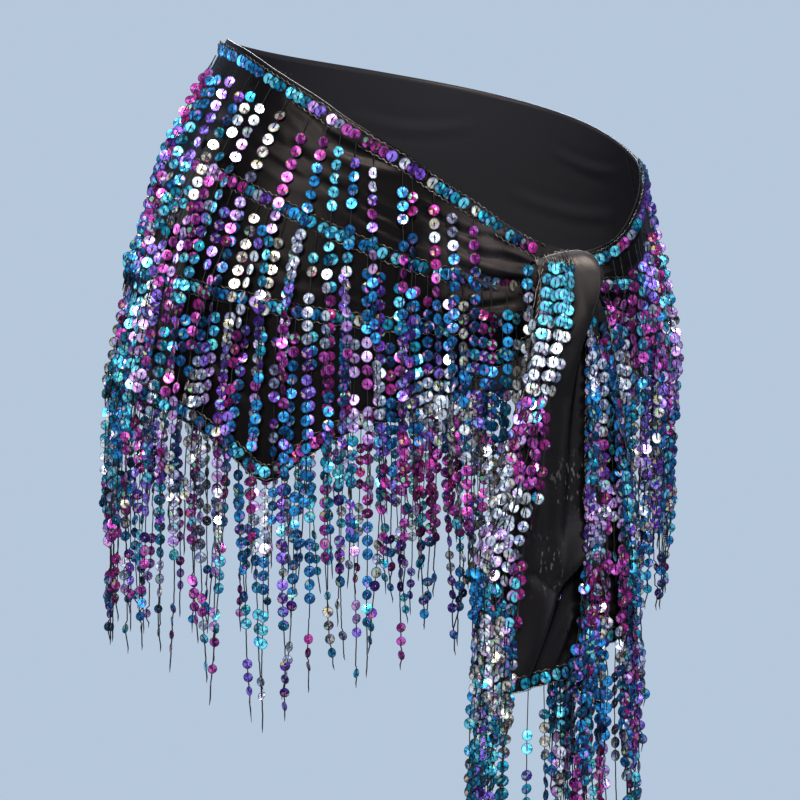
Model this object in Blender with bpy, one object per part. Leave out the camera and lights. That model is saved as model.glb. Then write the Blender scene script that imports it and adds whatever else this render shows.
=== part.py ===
"""Belly dance hip scarf, wound round the hips and tied in front of the left hip.

Frame: +Z up, the wearer faces -Y and +X is the wearer's left. The origin is on the axis of
the hips, at the height where the hips carry the scarf. All sizes below are in millimetres
and all angles in degrees; an angle is measured round the hips from the front (-Y), with
positive angles towards the wearer's left. "Out" is a distance out from the hip form.
"""
from collections import namedtuple

import bmesh
import bpy
import numpy as np

MM = 0.001

# --- driving sizes ------------------------------------------------------------------------
CLOTH = 1.5                 # wall of the cloth
CLOTH_OUT = 1.0             # inner face of the wound cloth, out from the hip form
GAP = 0.3                   # between pieces that meet
SEAM_GAP_ANGLE = 0.06       # half a seam's gap, as an angle
BAND_WIDTH = 9.0            # sequin band along each row and each edge
BAND = 0.8                  # its thickness
CLOTH_EDGE = 1.5            # cloth that shows beyond the first and last band
FRINGE_LENGTH = 155.0       # strands, from the band to their tips
FRINGE = 2.4                # thickness of the solid that a row of strands fills
FRINGE_OUT = CLOTH_OUT + CLOTH + 2 * GAP    # its inner face where it lies on the cloth
LAYER = FRINGE + 3 * GAP    # how far a row of strands stands off the row below it
RAMP = 16.0                 # height over which strands lift to pass the next row
RAMP_SHARE = 0.9            # most of the height between two rows that this takes
LINE_DROP = 3.0             # least height between two lines of a fringe or a tail
HIP_ROUNDNESS = 2.15        # exponent of the superellipse of each hip section

KNOT_ANGLE = 27.0           # where the two wound ends of the cloth meet, under the knot
SIDE_ANGLE = 90.0           # left side, where the left stretch meets the back
RIGHT_ANGLE = -98.0         # right side, where the back meets the front
BANDS_TO_KNOT = 22.0        # the front's bands stop here, under the knot
BANDS_FROM_KNOT = 32.0      # and the left hip's start here
FRINGE_TO_KNOT = 14.0       # the top row's strands stop beside the knot

# General hip form with the cloth falling straight below its widest point.
HipSection = namedtuple("HipSection", "height half_width front_depth back_depth middle_x")
HIP = [
    HipSection(85.0, 115.5, 90.0, 94.0, 17.0),
    HipSection(50.0, 127.0, 98.0, 103.0, 9.5),
    HipSection(0.0, 143.0, 106.0, 116.0, 0.5),
    HipSection(-40.0, 154.0, 111.0, 126.0, -2.0),
    HipSection(-80.0, 162.5, 114.0, 131.0, -3.0),
    HipSection(-130.0, 169.0, 114.0, 131.0, -5.0),
    HipSection(-180.0, 171.5, 114.0, 131.0, -8.0),
    HipSection(-240.0, 171.5, 114.0, 131.0, -9.0),
    HipSection(-500.0, 171.5, 114.0, 131.0, -9.0),
]

# Heights of the middle of the four sequin rows round the hips.
RowPlace = namedtuple("RowPlace", "angle row1 row2 row3 row4")
ROWS = [
    RowPlace(-98, 62, -4, -74, -146),
    RowPlace(-82, 58, -7, -76, -147),
    RowPlace(-66, 51, -12, -80, -150),
    RowPlace(-50, 38, -23, -87, -163),
    RowPlace(-42, 30, -31, -91, -177),
    RowPlace(-34, 21, -40, -96, -192),
    RowPlace(-26, 10, -50, -100, -177),
    RowPlace(-18, -1, -59, -103, -163),
    RowPlace(-10, -12, -68, -106, -156),
    RowPlace(-2, -26, -75, -107, -146),
    RowPlace(6, -39, -80, -107, -133),
    RowPlace(14, -54, -83, -103, -122),
    RowPlace(22, -64, -84, -98, -112),
    RowPlace(32, -69, -84, -98, -112),
    RowPlace(40, -64, -83, -101, -118),
    RowPlace(48, -54, -83, -104, -124),
    RowPlace(56, -41, -82, -104, -128),
    RowPlace(72, -19, -76, -100, -130),
    RowPlace(90, -5, -68, -95, -135),
    RowPlace(120, 18, -45, -86, -145),
    RowPlace(150, 36, -27, -79, -152),
    RowPlace(180, 48, -15, -75, -156),
    RowPlace(210, 56, -8, -73, -156),
    RowPlace(240, 61, -5, -73, -151),
    RowPlace(262, 62, -4, -74, -146),
]

# Gathers between the first two rows where the cloth runs into the knot.
KnotFold = namedtuple("KnotFold", "place lift")
KNOT_FOLDS = [
    KnotFold(0.0, 0.0), KnotFold(0.13, 0.9), KnotFold(0.27, 0.15), KnotFold(0.43, 1.0),
    KnotFold(0.58, 0.2), KnotFold(0.73, 0.75), KnotFold(0.87, 0.1), KnotFold(1.0, 0.0),
]
KNOT_FOLD_LIFT = 3.6
KNOT_FOLDS_FROM, KNOT_FOLDS_FULL = -14.0, 10.0      # angles where they start and are full
HIP_FOLD_LIFT = 5.0         # one soft fold on the left hip, beside the knot
HIP_FOLD_ANGLE = 46.0
HIP_FOLD_REACH = 15.0

# Knot: a gathered roll of cloth that the front tail passes over.
KNOT_FROM, KNOT_TO = 16.0, 31.5
KNOT_OUT, KNOT_HEIGHT = 15.0, -77.0
KNOT_HALF_DEPTH, KNOT_HALF_HEIGHT = 7.2, 14.0
KNOT_END_SIZE = 0.55                    # its size at both ends, as a share of the middle's
KNOT_FULLNESS = 0.6                     # exponent: a smaller one keeps it thick for longer
KNOT_CLEAR = 1.0                        # between it and the front tail
KNOT_PLEATS, KNOT_PLEAT_DEPTH = 5, 0.07
KNOT_SECTIONS, KNOT_POINTS = 9, 16
OVER_KNOT = (150, 120, 90, 60, 30, 0)   # directions in which the front tail passes round it

# The two hanging ends: edges of each, and the lengthwise fold with its lift.
TailEdge = namedtuple("TailEdge", "height left fold right lift")
FRONT_TAIL = [
    TailEdge(-60, 16.0, 24.4, 28.0, 1.5),
    TailEdge(-90, 15.0, 24.3, 27.8, 3.5),
    TailEdge(-120, 13.6, 23.4, 27.8, 3.0),
    TailEdge(-150, 12.2, 22.2, 28.0, 1.5),
    TailEdge(-180, 10.2, 21.4, 28.3, 1.0),
    TailEdge(-210, 8.2, 21.2, 28.6, 1.0),
    TailEdge(-240, 6.6, 20.5, 28.9, 1.6),
    TailEdge(-270, 5.6, 19.5, 29.2, 2.4),
    TailEdge(-300, 5.0, 17.8, 29.6, 1.8),
    TailEdge(-325, 4.8, 17.0, 30.0, 0.6),
]
REAR_TAIL = [
    TailEdge(-92, 24.0, 27.5, 31.0, 0.0),
    TailEdge(-103, 23.6, 27.7, 32.0, 0.0),
    TailEdge(-150, 23.0, 28.5, 35.5, 0.0),
    TailEdge(-180, 22.5, 29.5, 38.0, 0.0),
    TailEdge(-240, 22.0, 31.0, 40.5, 0.0),
    TailEdge(-300, 21.5, 32.0, 42.0, 0.0),
]
FRONT_TAIL_ENDS = (-325.0, -311.0)      # heights of the end's left and right corners
REAR_TAIL_ENDS = (-300.0, -296.0)
REAR_TAIL_OUT = 16.3
REAR_TAIL_TUCK = 1.8                    # its top is tucked in under the knot by this much
FRONT_TAIL_OUT = KNOT_OUT + KNOT_HALF_DEPTH + KNOT_CLEAR
TAIL_BAND_ANGLE = 3.2                   # a band's width, as an angle at the tails
FOLD_SIDE = 0.35                        # foot of a tail's fold, from its crest to a band

# Solid reach of the strands along the tails' side edges.
Reach = namedtuple("Reach", "height start stop")
FRONT_LEFT_REACH = [
    Reach(-78, 16.2, 22.2), Reach(-100, 15.0, 21.2), Reach(-125, 13.6, 20.2),
    Reach(-150, 11.8, 18.9), Reach(-185, 8.4, 18.4), Reach(-215, 5.6, 17.2),
    Reach(-240, 3.8, 15.0), Reach(-275, 3.0, 13.8), Reach(-325, 2.8, 12.5),
    Reach(-370, 3.0, 11.0), Reach(-430, 3.0, 9.0), Reach(-478, 3.2, 6.5),
]
FRONT_RIGHT_REACH = [
    Reach(-84, 26.6, 30.0), Reach(-120, 26.3, 30.6), Reach(-200, 26.2, 31.2),
    Reach(-245, 26.0, 31.6), Reach(-285, 24.8, 32.0), Reach(-325, 23.4, 32.0),
    Reach(-370, 23.2, 31.5), Reach(-430, 24.0, 31.0), Reach(-470, 26.0, 30.0),
]
REAR_LEFT_REACH = [
    Reach(-112, 22.5, 26.0), Reach(-200, 21.0, 26.5), Reach(-300, 20.5, 27.0),
    Reach(-400, 21.0, 26.0), Reach(-452, 22.0, 25.0),
]
REAR_RIGHT_REACH = [
    Reach(-112, 30.5, 34.0), Reach(-150, 32.5, 37.0), Reach(-200, 34.5, 41.0),
    Reach(-265, 36.0, 43.0), Reach(-330, 36.5, 43.5), Reach(-400, 37.0, 43.0),
    Reach(-455, 38.5, 42.0),
]
FRONT_TAIL_FRINGE = 4.5                 # thickness of the strands over the front tail
REAR_TAIL_FRINGE = 3.5

# name: (colour, roughness, metallic)
FINISHES = {
    "black_satin": ((0.012, 0.011, 0.014, 1.0), 0.38, 0.0),
    "sequin_band": ((0.10, 0.24, 0.42, 1.0), 0.25, 0.8),
    "sequin_fringe": ((0.26, 0.20, 0.48, 1.0), 0.25, 0.8),
}


# --- tables and the hip form ----------------------------------------------------------------
def column(table, name):
    return np.array([getattr(row, name) for row in table], float)


def read_curve(table, key, value, places):
    """Smooth curve through two columns of a table, read at the given places."""
    keys, values = column(table, key), column(table, value)
    if keys[0] > keys[-1]:
        keys, values = keys[::-1], values[::-1]
    slopes = np.gradient(values, keys)
    places = np.clip(places, keys[0], keys[-1])
    left = np.clip(np.searchsorted(keys, places) - 1, 0, len(keys) - 2)
    span = keys[left + 1] - keys[left]
    t = (places - keys[left]) / span
    return ((2 * t**3 - 3 * t**2 + 1) * values[left] + (3 * t**2 - 2 * t**3) * values[left + 1]
            + span * ((t**3 - 2 * t**2 + t) * slopes[left] + (t**3 - t**2) * slopes[left + 1]))


def on_hip(angle, height, out):
    """Points (mm) at an angle and height, a distance out from the hip form: each section
    is a superellipse whose front and back half differ in depth."""
    angle, height, out = np.broadcast_arrays(angle, height, out)
    sine, cosine = np.sin(np.radians(angle)), np.cos(np.radians(angle))
    depth = np.where(cosine > 0, read_curve(HIP, "height", "front_depth", height),
                     read_curve(HIP, "height", "back_depth", height)) + out
    width = read_curve(HIP, "height", "half_width", height) + out
    scale = (np.abs(sine)**HIP_ROUNDNESS + np.abs(cosine)**HIP_ROUNDNESS)**(-1 / HIP_ROUNDNESS)
    middle = read_curve(HIP, "height", "middle_x", height)
    return np.stack([middle + width * scale * sine, -depth * scale * cosine, height], -1)


def row_height(row, angle):
    """Height of the middle of sequin row 1 to 4 at an angle."""
    return read_curve(ROWS, "angle", f"row{row}", angle)


def smooth_step(value, start, stop):
    t = np.clip((value - start) / (stop - start), 0, 1)
    return t * t * (3 - 2 * t)


def fold_height(angle):
    """How high the folds between the first two rows stand, at an angle."""
    knot = KNOT_FOLD_LIFT * smooth_step(angle, KNOT_FOLDS_FROM, KNOT_FOLDS_FULL)
    reach = np.clip((angle - HIP_FOLD_ANGLE) / HIP_FOLD_REACH, -1, 1)
    hip = HIP_FOLD_LIFT * (0.5 + 0.5 * np.cos(np.pi * reach))
    return np.where(angle < KNOT_ANGLE, knot, hip)


# --- meshes -----------------------------------------------------------------------------------
def make_material(name):
    colour, roughness, metallic = FINISHES[name]
    material = bpy.data.materials.new(name)
    material.use_nodes = True
    shader = material.node_tree.nodes["Principled BSDF"]
    shader.inputs["Base Color"].default_value = colour
    shader.inputs["Roughness"].default_value = roughness
    shader.inputs["Metallic"].default_value = metallic
    return material


def make_object(name, points, faces, material):
    """Closed mesh from points in mm and faces, pointing outwards."""
    mesh = bpy.data.meshes.new(name)
    mesh.from_pydata((points.reshape(-1, 3) * MM).tolist(), [], faces)
    shell = bmesh.new()
    shell.from_mesh(mesh)
    bmesh.ops.recalc_face_normals(shell, faces=shell.faces)
    shell.to_mesh(mesh)
    shell.free()
    mesh.shade_smooth()
    mesh.materials.append(material)
    part = bpy.data.objects.new(name, mesh)
    bpy.context.scene.collection.objects.link(part)
    return part


def wall(name, inner, outer, material):
    """Closed wall between two grids of points, both split along the same diagonals."""
    rows, columns = inner.shape[:2]
    index = np.arange(rows * columns).reshape(rows, columns)
    a, b, c, d = (grid.ravel() for grid in
                  (index[:-1, :-1], index[:-1, 1:], index[1:, 1:], index[1:, :-1]))
    skin = np.concatenate([np.stack([a, b, c], 1), np.stack([a, c, d], 1)])
    rim = np.concatenate([index[0, :], index[1:, -1], index[-1, -2::-1], index[-2:0:-1, 0]])
    following, far = np.roll(rim, -1), rows * columns
    edge = np.concatenate([np.stack([rim, following, following + far], 1),
                           np.stack([rim, following + far, rim + far], 1)])
    faces = np.concatenate([skin[:, ::-1], skin + far, edge])
    return make_object(name, np.stack([inner, outer]), faces.tolist(), material)


def hip_wall(name, angle, height, out, thickness, material):
    """Wall round the hips: out is its inner face."""
    return wall(name, on_hip(angle, height, out), on_hip(angle, height, out + thickness), material)


# --- wound cloth ------------------------------------------------------------------------------
def cloth_grid(angles, fold_places, lower_spans):
    """Heights and lifts of the cloth at each angle, from its top edge to its lower edge,
    with a line at both edges of each band. Fold places run up from row 2 to row 1."""
    half = BAND_WIDTH / 2
    rows = [row_height(row, angles) for row in (1, 2, 3, 4)]
    places = fold_places[::-1, None]
    top, bottom = rows[0] - half, rows[1] + half
    lines = [rows[0] + half + CLOTH_EDGE, rows[0] + half]
    lines += list(bottom + (top - bottom) * places)
    lines += [rows[1] - half]
    for above, below in ((rows[1], rows[2]), (rows[2], rows[3])):
        steps = np.linspace(0, 1, lower_spans + 1)[1:, None]
        lines += list(above - half + (below + half - above + half) * steps)
        lines += [below - half]
    lines += [rows[3] - half - CLOTH_EDGE]
    return np.array(lines).T


def cloth_lift(angle, height):
    """Lift of the cloth in its folds: gathers near the knot, one round fold on the left hip."""
    half = BAND_WIDTH / 2
    top, bottom = row_height(1, angle) - half, row_height(2, angle) + half
    place = np.clip((height - bottom) / (top - bottom), 0, 1)
    gathers = np.interp(place, column(KNOT_FOLDS, "place"), column(KNOT_FOLDS, "lift"))
    shape = np.where(angle < KNOT_ANGLE, gathers, np.sin(np.pi * place)**2)
    return fold_height(angle) * shape


def wind_cloth(name, angles, fold_places, lower_spans, material):
    heights = cloth_grid(angles, fold_places, lower_spans)
    grid = angles[:, None] + 0 * heights
    out = CLOTH_OUT + cloth_lift(grid, heights)
    return hip_wall(name, grid, heights, out, CLOTH, material)


def sew_band(name, row, angles, material):
    """Band on the cloth, from the cloth's own lines moved out."""
    middle = row_height(row, angles)[:, None]
    heights = middle + np.array([BAND_WIDTH / 2, -BAND_WIDTH / 2])
    grid = angles[:, None] + 0 * heights
    out = CLOTH_OUT + CLOTH + GAP + cloth_lift(grid, heights)
    return hip_wall(name, grid, heights, out, BAND, material)


# --- fringes of the rows ------------------------------------------------------------------------
def strand_end(angle, top, length):
    """Height where strands of a length end, measured down the hip form."""
    drops = np.linspace(0, length, 32)
    heights = top[:, None] - drops
    path = on_hip(angle[:, None], heights, 0.0)
    steps = np.linalg.norm(np.diff(path, axis=1), axis=2)
    lengths = np.concatenate([np.zeros((len(top), 1)), np.cumsum(steps, axis=1)], axis=1)
    return np.array([np.interp(length, run, down) for run, down in zip(lengths, heights)])


def ramps_below(row, angle):
    """For each row below a row: the heights where strands start to lift and are clear of it."""
    clear = BAND_WIDTH / 2 + GAP
    found = []
    for below in range(row + 1, 5):
        stop = row_height(below, angle) + clear
        room = row_height(below - 1, angle) - clear - stop
        found.append((stop + np.minimum(RAMP, RAMP_SHARE * room), stop))
    return found


def fringe_out(row, angle, height):
    """Inner face of a row's strands: on the cloth, one layer further out for each row passed,
    and clear of the folds until the third row."""
    out = FRINGE_OUT + 0 * height
    for start, stop in ramps_below(row, angle):
        out += LAYER * np.clip((start - height) / (start - stop), 0, 1)
    if row == 1:
        fade_from = row_height(2, angle) - BAND_WIDTH / 2
        fade_to = row_height(3, angle) + BAND_WIDTH / 2
        out += fold_height(angle) * np.clip((height - fade_to) / (fade_from - fade_to), 0, 1)
    return out


def hang_fringe(name, row, angles, material):
    """Wall that the strands of one row fill, from under their band to their tips."""
    top = row_height(row, angles) - BAND_WIDTH / 2 - GAP
    end = strand_end(angles, top, FRINGE_LENGTH)
    lines = [top]
    for start, stop in ramps_below(row, angles):
        lines += [0.5 * (lines[-1] + start), start, stop]
    lines.append(0.5 * (lines[-1] + end))
    left = len(lines)
    lines = [np.maximum(line, end + LINE_DROP * (left - i)) for i, line in enumerate(lines)]
    heights = np.array(lines + [end]).T
    grid = angles[:, None] + 0 * heights
    return hip_wall(name, grid, heights, fringe_out(row, grid, heights), FRINGE, material)


# --- knot and tails -----------------------------------------------------------------------------
def tie_knot(material):
    """Roll of gathered cloth across the front: pleated ovals that narrow to both ends."""
    along = np.linspace(0, 1, KNOT_SECTIONS)[:, None]
    angle = KNOT_FROM + (KNOT_TO - KNOT_FROM) * along
    turn = np.linspace(0, 2 * np.pi, KNOT_POINTS, endpoint=False)[None, :]
    size = KNOT_END_SIZE + (1 - KNOT_END_SIZE) * np.sin(np.pi * along)**KNOT_FULLNESS
    size = size * (1 - KNOT_PLEAT_DEPTH * (0.5 - 0.5 * np.cos(KNOT_PLEATS * turn + 2 * along)))
    out = KNOT_OUT + KNOT_HALF_DEPTH * size * np.cos(turn)
    height = KNOT_HEIGHT + KNOT_HALF_HEIGHT * size * np.sin(turn)
    points = on_hip(angle + 0 * turn, height, out).reshape(-1, 3)
    last = len(points) - KNOT_POINTS
    faces = [list(range(KNOT_POINTS)), list(range(last, len(points)))[::-1]]
    for first in range(0, last, KNOT_POINTS):
        for point in range(KNOT_POINTS):
            after = (point + 1) % KNOT_POINTS
            faces.append([first + point, first + KNOT_POINTS + point,
                          first + KNOT_POINTS + after, first + after])
    return make_object("knot", points, faces, material)


def tail_path(table, ends, start_out, over_knot):
    """Heights, angles and out of a tail's grid: a row for each height of its table, first
    over the knot where it passes it, and seven columns with a line at each band's edge."""
    tops = column(table, "height")
    tops = tops[(tops < KNOT_HEIGHT) & (tops > max(ends))]
    if over_knot:
        turn = np.radians(OVER_KNOT)
        heights = KNOT_HEIGHT + (KNOT_HALF_HEIGHT + KNOT_CLEAR) * np.sin(turn)
        outs = KNOT_OUT + (KNOT_HALF_DEPTH + KNOT_CLEAR) * np.cos(turn)
        heights = np.concatenate([heights, tops])
        outs = np.concatenate([outs, start_out + 0 * tops])
    else:
        heights = tops
        outs = start_out - REAR_TAIL_TUCK * (tops == tops[0])
    near_end = 0.5 * (ends[0] + ends[1]) + BAND_WIDTH
    heights = heights[heights > near_end + LINE_DROP]
    outs = outs[:len(heights)]
    places = np.append(heights, [near_end] * 2)
    left, fold, right, lift = (read_curve(table, "height", name, places)
                               for name in ("left", "fold", "right", "lift"))
    band_left, band_right = left + TAIL_BAND_ANGLE, right - TAIL_BAND_ANGLE
    columns = np.stack([left, band_left, fold + FOLD_SIDE * (band_left - fold), fold,
                        fold + FOLD_SIDE * (band_right - fold), band_right, right], 1)
    across = (columns - left[:, None]) / (right - left)[:, None]
    end = ends[0] + (ends[1] - ends[0]) * across[-1]
    height = np.concatenate([heights[:, None] + 0 * columns[:-2], [end + BAND_WIDTH, end]])
    out = np.append(outs, [start_out] * 2)[:, None] + 0 * columns
    out[:, 3] += lift
    return columns, height, out


def make_tail(side, table, ends, start_out, over_knot, cloth, band):
    """One hanging end with its bands: along both side edges and across the end."""
    angle, height, out = tail_path(table, ends, start_out, over_knot)
    hip_wall(f"tail_{side}", angle, height, out, CLOTH, cloth)
    on_face = out + CLOTH + GAP
    stop_above_end = height.copy()
    stop_above_end[-2] += GAP
    for name, pick in (("left", slice(0, 2)), ("right", slice(5, 7))):
        hip_wall(f"band_tail_{side}_{name}", angle[1:-1, pick], stop_above_end[1:-1, pick],
                 on_face[1:-1, pick], BAND, band)
    end_angle = angle[-2:].copy()
    end_angle[:, 0] += SEAM_GAP_ANGLE
    end_angle[:, -1] -= SEAM_GAP_ANGLE
    hip_wall(f"band_tail_{side}_end", end_angle, height[-2:], on_face[-2:], BAND, band)
    return angle[-1], height[-1]


def hang_side_fringe(name, reach, out, thickness, material):
    """Wall of the strands along a tail's side edge, between the angles of its reach."""
    heights = column(reach, "height")[:, None]
    start, stop = column(reach, "start")[:, None], column(reach, "stop")[:, None]
    angle = start + (stop - start) * np.linspace(0, 1, 4)
    hip_wall(name, angle, heights + 0 * angle, out + 0 * angle, thickness, material)


def hang_end_fringe(name, end_angle, end_height, out, material):
    """Wall of the strands below a tail's end."""
    top = end_height - GAP
    heights = top - FRINGE_LENGTH * np.array([0, 0.5, 1])[:, None]
    hip_wall(name, end_angle + 0 * heights, heights, out + 0 * heights, FRINGE, material)


# --- the scarf ------------------------------------------------------------------------------------
for old in list(bpy.data.objects):
    bpy.data.objects.remove(old, do_unlink=True)

satin, band_finish, fringe_finish = (make_material(name) for name in FINISHES)

fine_folds = column(KNOT_FOLDS, "place")
front_angles = np.append(np.arange(RIGHT_ANGLE, BANDS_TO_KNOT + 1, 8), KNOT_ANGLE)
left_angles = np.concatenate([[KNOT_ANGLE], np.linspace(BANDS_FROM_KNOT, 72, 6), [81, SIDE_ANGLE]])
back_angles = np.linspace(SIDE_ANGLE, RIGHT_ANGLE + 360, 16)
for stretch, stations, fold_places, lower_spans in (
        ("front", front_angles, fine_folds, 2),
        ("left", left_angles, np.linspace(0, 1, 5), 2),
        ("back", back_angles, np.linspace(0, 1, 4), 2)):
    stations = stations.astype(float)
    stations[0] += SEAM_GAP_ANGLE
    stations[-1] -= SEAM_GAP_ANGLE
    wind_cloth(f"wrap_{stretch}", stations, fold_places, lower_spans, satin)
    clear_of_knot = (stations <= BANDS_TO_KNOT) | (stations >= BANDS_FROM_KNOT)
    for row in (1, 2, 3, 4):
        sew_band(f"band_row{row}_{stretch}", row, stations[clear_of_knot], band_finish)
        hanging = clear_of_knot
        if row == 1:
            hanging = (stations <= FRINGE_TO_KNOT) | (stations >= BANDS_FROM_KNOT)
        hang_fringe(f"fringe_row{row}_{stretch}", row, stations[hanging], fringe_finish)

tie_knot(satin)
front_end = make_tail("front", FRONT_TAIL, FRONT_TAIL_ENDS, FRONT_TAIL_OUT, True, satin, band_finish)
rear_end = make_tail("rear", REAR_TAIL, REAR_TAIL_ENDS, REAR_TAIL_OUT, False, satin, band_finish)
on_front = FRONT_TAIL_OUT + CLOTH + GAP + BAND + GAP
on_rear = REAR_TAIL_OUT + CLOTH + GAP + BAND + GAP
hang_side_fringe("fringe_tail_front_left", FRONT_LEFT_REACH, on_front, FRONT_TAIL_FRINGE, fringe_finish)
hang_side_fringe("fringe_tail_front_right", FRONT_RIGHT_REACH, on_front, FRONT_TAIL_FRINGE, fringe_finish)
hang_side_fringe("fringe_tail_rear_left", REAR_LEFT_REACH, on_rear, REAR_TAIL_FRINGE, fringe_finish)
hang_side_fringe("fringe_tail_rear_right", REAR_RIGHT_REACH, on_rear, REAR_TAIL_FRINGE, fringe_finish)
hang_end_fringe("fringe_tail_front_end", *front_end, FRONT_TAIL_OUT, fringe_finish)
hang_end_fringe("fringe_tail_rear_end", *rear_end, REAR_TAIL_OUT, fringe_finish)
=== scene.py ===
# Belly dance hip scarf: satin cloth, sequin bands and hanging sequin strands, made round the
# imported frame. Tables are in millimetres and degrees; an angle runs round the hips from the
# front, positive towards the wearer's left, and "out" is a distance out from the hip form.
import bpy
import numpy as np
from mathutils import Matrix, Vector


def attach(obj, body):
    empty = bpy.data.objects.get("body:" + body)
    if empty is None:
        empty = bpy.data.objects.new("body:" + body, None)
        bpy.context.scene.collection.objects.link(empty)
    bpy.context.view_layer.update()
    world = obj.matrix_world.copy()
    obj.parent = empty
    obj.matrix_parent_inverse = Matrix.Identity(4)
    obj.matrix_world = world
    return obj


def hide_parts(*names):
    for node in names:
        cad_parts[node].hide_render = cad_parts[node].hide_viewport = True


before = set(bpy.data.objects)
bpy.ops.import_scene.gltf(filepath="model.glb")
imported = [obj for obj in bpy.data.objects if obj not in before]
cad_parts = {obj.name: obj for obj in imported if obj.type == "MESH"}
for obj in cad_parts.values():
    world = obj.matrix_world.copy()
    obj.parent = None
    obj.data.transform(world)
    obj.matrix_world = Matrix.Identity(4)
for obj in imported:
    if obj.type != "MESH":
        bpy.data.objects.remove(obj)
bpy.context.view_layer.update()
print("frame loaded:", len(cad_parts), "nodes")

mm = 0.001
random = np.random.default_rng(52)

# the hip that the scarf is wound on, cloth falling straight below the widest point
hip = {
    "height":     [85.0, 50.0, 0.0, -40.0, -80.0, -130.0, -180.0, -240.0, -500.0],
    "halfWidth":  [115.5, 127.0, 143.0, 154.0, 162.5, 169.0, 171.5, 171.5, 171.5],
    "frontDepth": [90.0, 98.0, 106.0, 111.0, 114.0, 114.0, 114.0, 114.0, 114.0],
    "backDepth":  [94.0, 103.0, 116.0, 126.0, 131.0, 131.0, 131.0, 131.0, 131.0],
    "middleX":    [17.0, 9.5, 0.5, -2.0, -3.0, -5.0, -8.0, -9.0, -9.0],
    "roundness": 2.15,
}

# heights of the four sequin rows round the hips
rows = {
    "angle": [-98, -82, -66, -50, -42, -34, -26, -18, -10, -2, 6, 14, 22, 32, 40, 48, 56, 72, 90,
              120, 150, 180, 210, 240, 262],
    1: [62, 58, 51, 38, 30, 21, 10, -1, -12, -26, -39, -54, -64, -69, -64, -54, -41, -19, -5,
        18, 36, 48, 56, 61, 62],
    2: [-4, -7, -12, -23, -31, -40, -50, -59, -68, -75, -80, -83, -84, -84, -83, -83, -82, -76,
        -68, -45, -27, -15, -8, -5, -4],
    3: [-74, -76, -80, -87, -91, -96, -100, -103, -106, -107, -107, -103, -98, -98, -101, -104,
        -104, -100, -95, -86, -79, -75, -73, -73, -74],
    4: [-146, -147, -150, -163, -177, -192, -177, -163, -156, -146, -133, -122, -112, -112,
        -118, -124, -128, -130, -135, -145, -152, -156, -156, -151, -146],
}
# where each stretch of cloth, of strands and of band starts and stops; trim stops short of
# the knot
stretches = {"front": (-98.0, 27.0), "left": (27.0, 90.0), "back": (90.0, 262.0)}
strandStretches = {"front": (-98.0, 22.0), "left": (32.0, 90.0), "back": (90.0, 262.0)}
bandStretches = {"front": (-97.9, 22.0), "left": (32.0, 89.9), "back": (90.1, 261.9)}


# a smooth (cubic Hermite) curve through a table's column, read at places
def readCurve(keys, values, places):
    keys, values = np.array(keys, float), np.array(values, float)
    if keys[0] > keys[-1]:
        keys, values = keys[::-1], values[::-1]
    slopes = np.gradient(values, keys)
    places = np.clip(places, keys[0], keys[-1])
    left = np.clip(np.searchsorted(keys, places) - 1, 0, len(keys) - 2)
    span = keys[left + 1] - keys[left]
    t = (places - keys[left]) / span
    return ((2 * t**3 - 3 * t**2 + 1) * values[left] + (3 * t**2 - 2 * t**3) * values[left + 1]
            + span * ((t**3 - 2 * t**2 + t) * slopes[left] + (t**3 - t**2) * slopes[left + 1]))


# 3t^2 - 2t^3 from 0 at start to 1 at stop
def smoothStep(value, start, stop):
    t = np.clip((value - start) / (stop - start), 0, 1)
    return t * t * (3 - 2 * t)


# rises between the first two places and falls between the last two
def plateau(value, rise, full, fall, stop):
    return smoothStep(value, rise, full) * smoothStep(value, stop, fall)


# first + (last - first) * share
def between(first, last, share):
    return first + (last - first) * share


# exp(-value^2)
def bell(value):
    return np.exp(-value**2)


# two square directions turned by an angle in their own plane
def turnPair(first, second, angle):
    cosine, sine = np.cos(angle)[..., None], np.sin(angle)[..., None]
    return first * cosine + second * sine, second * cosine - first * sine


# each vector over its length
def unit(vectors):
    return vectors / (np.linalg.norm(vectors, axis=-1, keepdims=True) + 1e-12)


# half width, depth and middle of the hip's section at a height
def hipSection(angle, height, out):
    cosine = np.cos(np.radians(angle))
    width = readCurve(hip["height"], hip["halfWidth"], height) + out
    depth = np.where(cosine > 0, readCurve(hip["height"], hip["frontDepth"], height),
                     readCurve(hip["height"], hip["backDepth"], height)) + out
    return width, depth, readCurve(hip["height"], hip["middleX"], height)


# x = middle + width * k * sin(angle), y = -depth * k * cos(angle), where k makes each
# section a superellipse
def onHip(angle, height, out):
    angle, height, out = np.broadcast_arrays(angle, height, out)
    width, depth, middle = hipSection(angle, height, out)
    sine, cosine = np.sin(np.radians(angle)), np.cos(np.radians(angle))
    power = hip["roundness"]
    k = (np.abs(sine)**power + np.abs(cosine)**power)**(-1 / power)
    return np.stack([middle + width * k * sine, -depth * k * cosine, height], -1)


# unit horizontal direction straight out of the hip at an angle
def outward(angle, height):
    ahead = onHip(angle + 0.5, height, 0.0) - onHip(angle - 0.5, height, 0.0)
    return unit(np.stack([ahead[..., 1], -ahead[..., 0], 0 * ahead[..., 2]], -1))


# height of a row's middle at an angle
def rowHeight(row, angle):
    return readCurve(rows["angle"], rows[row], angle)


# how the trim lies over the cloth: strands start on it, and go one layer further out for each
# row that they pass
layers = {"strandsOut": 3.1, "layer": 2.5, "leftLayer": 1.5, "ramp": 16.0, "rampShare": 0.9,
          "bandHalf": 4.5, "gap": 0.3, "onLeft": (30.0, 60.0, 110.0, 150.0)}

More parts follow.
